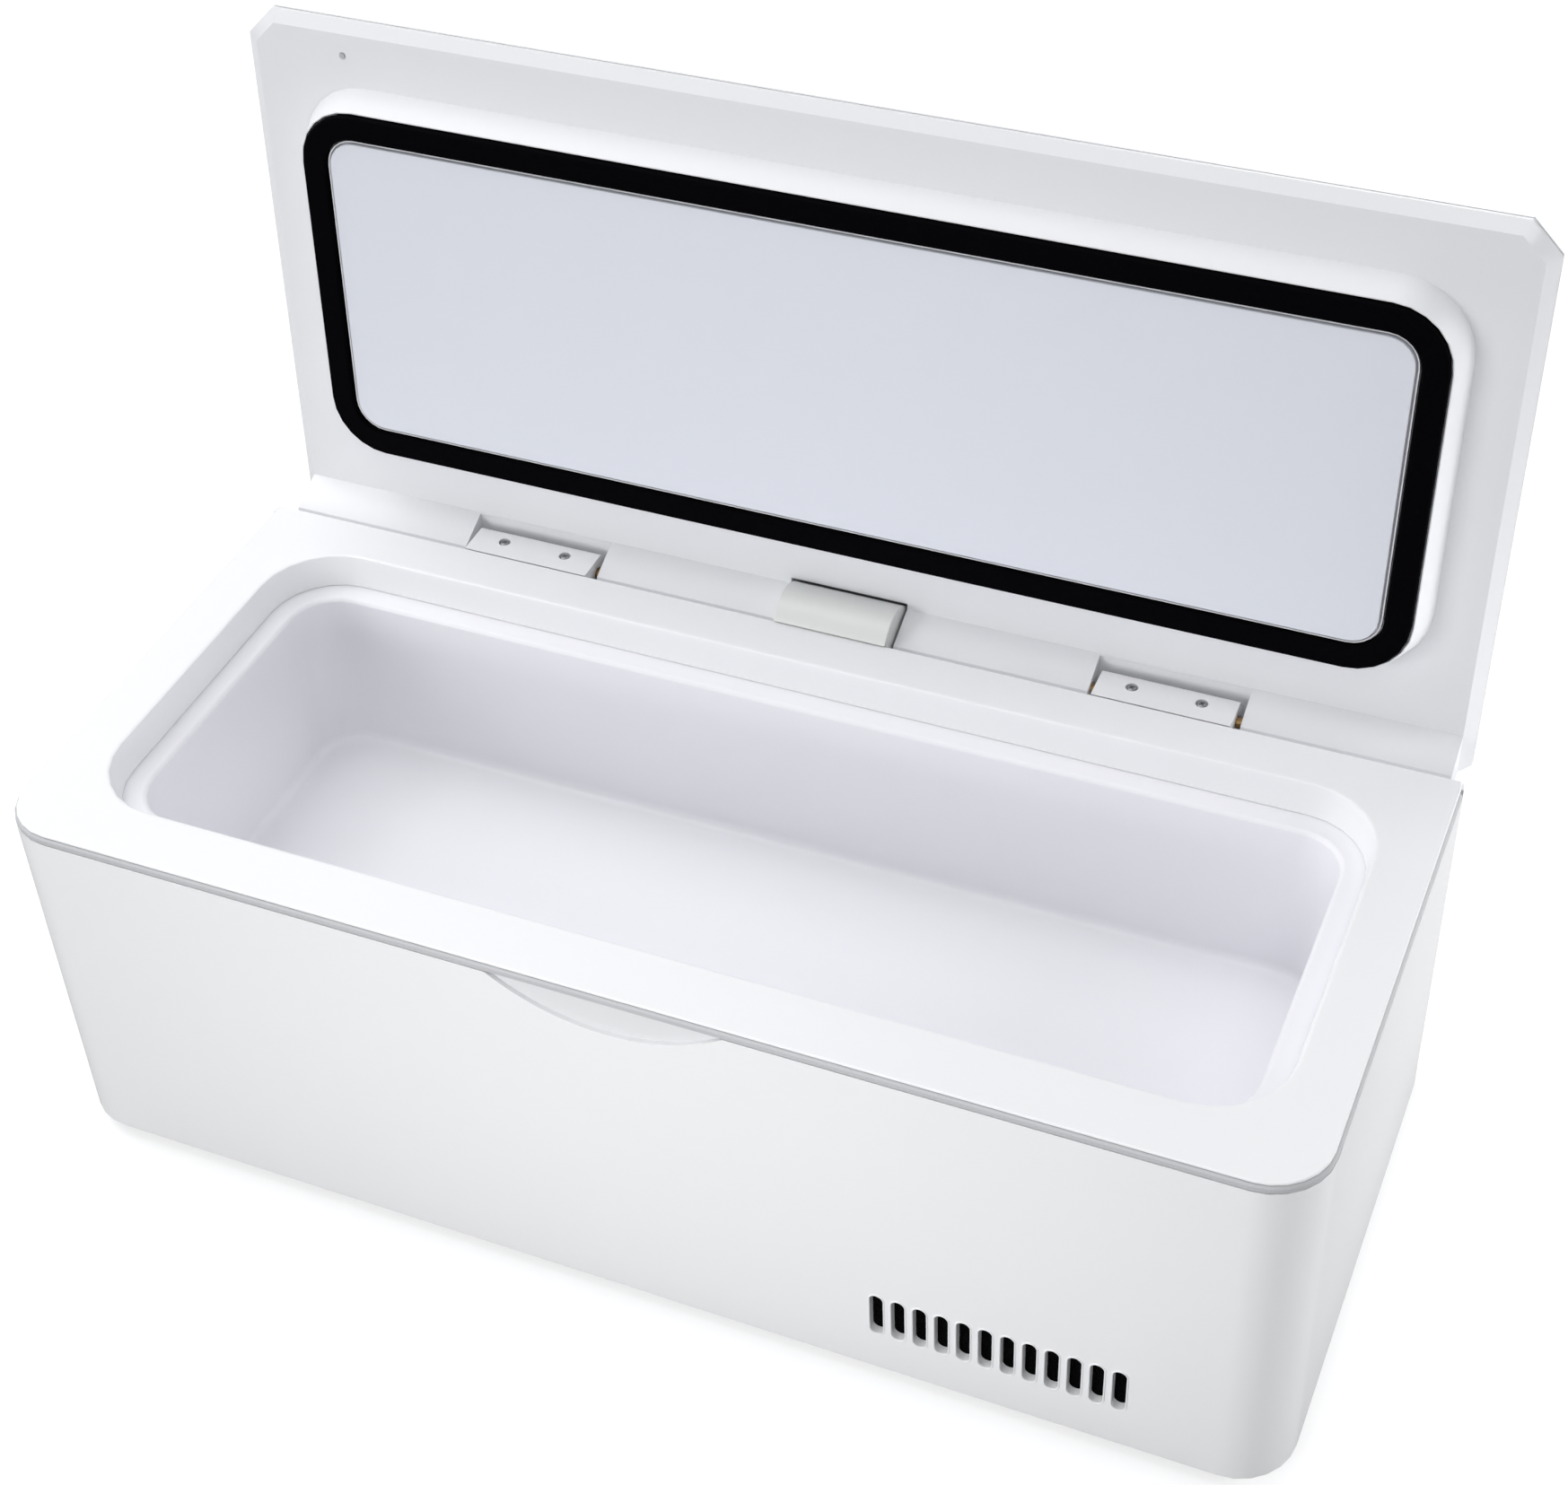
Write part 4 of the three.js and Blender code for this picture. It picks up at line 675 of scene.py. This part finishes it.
# Cross recess: length and width of an arm as shares of the head's radius, and twice its depth as a
# share of the head's height
RECESS_LENGTH = 1.25
RECESS_WIDTH = 0.3
RECESS_HEIGHT = 0.8

# Foot's sole from its middle out, as shares of the foot's radius and heights in millimetres
SOLE_PROFILE = [(0, 0.25), (0.5, 0.25), (0.58, 0), (0.84, 0), (0.93, 0.12), (0.98, 0.4), (1, 0.8)]
FOOT_STEPS = 48

# Vent slots and the bead round each, in millimetres
SLOT_COUNT = 12
SLOT_PITCH = 3.64
SLOT_WIDTH = 2.2
SLOT_HEIGHT = 9.5
RIM_BEAD = 0.16
RIM_SIDES = 8
SLOT_END_SHARE = 0.499  # radius of a slot's ends by its width, a little under half
SLOT_END_POINTS = 6

# Raised rings to feel on the buttons, in millimetres: node, ring radius, bead radius
BUTTON_MARKS = [("button_set", 0.9, 0.28), ("button_power", 1.9, 0.28)]
RING_STEPS = 40
RING_SIDES = 10


def turned(name, profile, steps):
    """A pattern turned about Z from (radius, height) in millimetres, from its top down.

    The profile's ends lie on the axis.
    """
    turns = [2 * math.pi * step / steps for step in range(steps)]
    points = [(0, 0, profile[0][1] * MM), (0, 0, profile[-1][1] * MM)]
    rings = []
    for radius, height in profile[1:-1]:
        rings.append(range(len(points), len(points) + steps))
        for turn in turns:
            out = Vector((math.cos(turn), math.sin(turn))) * radius
            points.append((out.x * MM, out.y * MM, height * MM))
    faces = []
    for step in range(steps):
        after = (step + 1) % steps
        faces.append((0, rings[0][step], rings[0][after]))
        faces.append((1, rings[-1][after], rings[-1][step]))
        for upper, lower in zip(rings, rings[1:]):
            faces.append((upper[after], upper[step], lower[step], lower[after]))
    mesh = bpy.data.meshes.new(name)
    mesh.from_pydata(points, [], faces)
    return as_piece(name, mesh)


def screw_pattern(name, head, head_height, shank, length):
    """A screw with its head's top at the origin, domed, with a cross recess."""
    dome = head_height * DOME_SHARE
    profile = [(head * out, -dome * down) for out, down in DOME_PROFILE] + [
        (head, -head_height),
        (shank, -head_height),
        (shank, -length + shank),
        (0, -length),
    ]
    pattern = turned(name, profile, SCREW_STEPS)
    cross = bmesh.new()
    arms = ((RECESS_LENGTH, RECESS_WIDTH), (RECESS_WIDTH, RECESS_LENGTH))
    for along, across in arms:
        sides = (head * along * MM, head * across * MM, head_height * RECESS_HEIGHT * MM)
        bmesh.ops.create_cube(cross, size=1, matrix=Matrix.Diagonal((*sides, 1)))
    mesh = bpy.data.meshes.new("screw_recess")
    cross.to_mesh(mesh)
    cross.free()
    recess = as_piece("screw_recess", mesh)
    cutting = pattern.modifiers.new("cross_recess", "BOOLEAN")
    cutting.object = recess
    cutting.operation = "DIFFERENCE"
    cutting.solver = "EXACT"
    cutting.use_self = True
    finished_mesh(pattern)
    bpy.data.objects.remove(recess)
    return pattern


GEOMETRY = "NodeSocketGeometry"
VECTOR = "NodeSocketVector"


def new_geometry_tree(name, inputs):
    """A Geometry Nodes tree that takes points, the named inputs and a finish.

    Gives the tree, the inputs' identifiers by name, and the tree's own input and output nodes.
    """
    tree = bpy.data.node_groups.new(name, "GeometryNodeTree")
    names = {}
    for label, kind in [("Points", GEOMETRY), *inputs, ("Finish", "NodeSocketMaterial")]:
        socket = tree.interface.new_socket(label, in_out="INPUT", socket_type=kind)
        names[label] = socket.identifier
    tree.interface.new_socket("Geometry", in_out="OUTPUT", socket_type=GEOMETRY)
    return tree, names, tree.nodes.new("NodeGroupInput"), tree.nodes.new("NodeGroupOutput")


def set_copies(tree, given, result, copied, turn):
    """Sets a turned copy at each point, joins the copies and gives them their finish."""
    rotation = add(tree, "FunctionNodeEulerToRotation", {0: turn})
    copies = add(
        tree,
        "GeometryNodeInstanceOnPoints",
        {"Points": given.outputs["Points"], "Instance": copied, "Rotation": rotation.outputs[0]},
    )
    joined = add(tree, "GeometryNodeRealizeInstances", {"Geometry": copies.outputs[0]})
    dressed = add(
        tree,
        "GeometryNodeSetMaterial",
        {"Geometry": joined.outputs[0], "Material": given.outputs["Finish"]},
    )
    tree.links.new(dressed.outputs[0], result.inputs[0])


def circle(tree, steps, radius):
    return add(tree, "GeometryNodeCurvePrimitiveCircle", {"Resolution": steps, "Radius": radius})


def bead_along(tree, path, sides, radius):
    """A round bead that runs along a curve."""
    profile = circle(tree, sides, radius)
    return add(
        tree,
        "GeometryNodeCurveToMesh",
        {"Curve": path.outputs[0], "Profile Curve": profile.outputs[0]},
    )


def pattern_tree():
    """Sets a pattern, turned as asked, at every point."""
    tree, names, given, result = new_geometry_tree(
        "set_at_points",
        [("Pattern", "NodeSocketObject"), ("Turn", VECTOR)],
    )
    source = add(tree, "GeometryNodeObjectInfo", {"Object": given.outputs["Pattern"]})
    set_copies(tree, given, result, source.outputs["Geometry"], given.outputs["Turn"])
    return tree, names


def rim_tree():
    """Sets an upright slot rim at every point: a bead run round the slot's outline."""
    tree, names, given, result = new_geometry_tree(
        "slot_rims",
        [("Width", FLOAT), ("Height", FLOAT), ("Bead", FLOAT)],
    )
    outline = add(
        tree,
        "GeometryNodeCurvePrimitiveQuadrilateral",
        {"Width": given.outputs["Width"], "Height": given.outputs["Height"]},
    )
    end_radius = add(
        tree,
        "ShaderNodeMath",
        {0: given.outputs["Width"], 1: SLOT_END_SHARE},
        operation="MULTIPLY",
    )
    rounded = add(
        tree,
        "GeometryNodeFilletCurve",
        {"Curve": outline.outputs[0], "Radius": end_radius.outputs[0], "Count": SLOT_END_POINTS},
        mode="POLY",
    )
    bead = bead_along(tree, rounded, RIM_SIDES, given.outputs["Bead"])
    set_copies(tree, given, result, bead.outputs[0], (math.pi / 2, 0, 0))
    return tree, names


def ring_tree():
    """Sets a round bead, turned as asked, at every point."""
    tree, names, given, result = new_geometry_tree(
        "raised_ring",
        [("Radius", FLOAT), ("Bead", FLOAT), ("Turn", VECTOR)],
    )
    path = circle(tree, RING_STEPS, given.outputs["Radius"])
    bead = bead_along(tree, path, RING_SIDES, given.outputs["Bead"])
    set_copies(tree, given, result, bead.outputs[0], given.outputs["Turn"])
    return tree, names


def repeated(name, points, built, values):
    """One mesh with copies at points, made by a Geometry Nodes tree and its named values."""
    tree, names = built
    mesh = bpy.data.meshes.new(name)
    mesh.from_pydata(points, [], [])
    piece = as_piece(name, mesh)
    modifier = piece.modifiers.new(name, "NODES")
    modifier.node_group = tree
    for label, value in values.items():
        modifier[names[label]] = value
    finished_mesh(piece)
    piece.data.shade_smooth()
    piece.data.set_sharp_from_angle(angle=SHARP_ANGLE)
    return piece


PATTERN_TREE = pattern_tree()
RIM_TREE = rim_tree()
RING_TREE = ring_tree()


def middle_of(node):
    low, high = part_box(node)
    return (Vector(low) + Vector(high)) / 2


def place_patterns(name, pattern, nodes, points, turn):
    """Copies of a pattern in the place of CAD nodes, in the finish of their slot."""
    values = {"Pattern": pattern, "Turn": turn, "Finish": MATERIALS[SLOTS[nodes[0]]]}
    piece = repeated(name, points, PATTERN_TREE, values)
    bpy.data.objects.remove(pattern)
    dress(piece, *nodes)


def place_screws():
    for name, nodes, head, head_height, shank, length, turn in SCREW_SETS:
        pattern = screw_pattern(f"{name}_pattern", head, head_height, shank, length)
        faces_up = turn[0] == 0
        points = []
        for node in nodes:
            low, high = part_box(node)
            place = middle_of(node)
            points.append((place.x, place.y, high[2] if faces_up else low[2]))
        place_patterns(name, pattern, nodes, points, turn)


def place_feet():
    nodes = [f"foot_{corner}" for corner in CORNERS]
    low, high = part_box(nodes[0])
    radius = (high[0] - low[0]) / 2 / MM
    height = (high[2] - low[2]) / MM
    sole = [(radius * out, up) for out, up in SOLE_PROFILE]
    profile = [(0, height), (radius, height), *reversed(sole)]
    pattern = turned("foot_pattern", profile, FOOT_STEPS)
    points = [(middle_of(node).x, middle_of(node).y, 0) for node in nodes]
    place_patterns("rubber_feet", pattern, nodes, points, (0, 0, 0))


def place_rims():
    """A bead round every vent slot, in the front wall and in the rear one."""
    low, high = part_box("body_shell")
    middle = middle_of("vent_filter_front")
    points = []
    for face in (low[1], high[1]):
        for slot in range(SLOT_COUNT):
            x = middle.x + (slot - (SLOT_COUNT - 1) / 2) * SLOT_PITCH * MM
            points.append((x, face, middle.z))
    values = {
        "Width": (SLOT_WIDTH + 2 * RIM_BEAD) * MM,
        "Height": (SLOT_HEIGHT + 2 * RIM_BEAD) * MM,
        "Bead": RIM_BEAD * MM,
        "Finish": MATERIALS["case_white"],
    }
    piece = repeated("vent_slot_rims", points, RIM_TREE, values)
    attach(piece, "case")


def place_button_marks():
    """A raised ring on each button's face, sunk in by half."""
    joints = frame["record"]["behaviour"]["joints"]
    inward = {joint["child"]: Vector(joint["axis"]) for joint in joints}
    for node, radius, bead in BUTTON_MARKS:
        body = BODY_OF[node]
        corners = [vertex.co for vertex in NODES[node].data.vertices]
        outward = -inward[body]
        reach = max(corner.dot(outward) for corner in corners)
        face = [corner for corner in corners if reach - corner.dot(outward) < MERGE_DISTANCE]
        low = Vector(min(corner[axis] for corner in face) for axis in range(3))
        high = Vector(max(corner[axis] for corner in face) for axis in range(3))
        values = {
            "Radius": radius * MM,
            "Bead": bead * MM,
            "Turn": tuple(outward.to_track_quat("Z", "Y").to_euler()),
            "Finish": MATERIALS[SLOTS[node]],
        }
        piece = repeated(f"{node}_mark", [tuple((low + high) / 2)], RING_TREE, values)
        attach(piece, body)


make_camera()
make_light()

for entry in MOULDINGS:
    moulding(*entry)
grain_and_shade_scoop()
place_screws()
place_feet()
place_rims()
place_button_marks()

for node, shown in NODES.items():
    shown.data.materials.clear()
    shown.data.materials.append(MATERIALS[SLOTS[node]])

make_floor()

bpy.context.scene.view_settings.view_transform = "Standard"
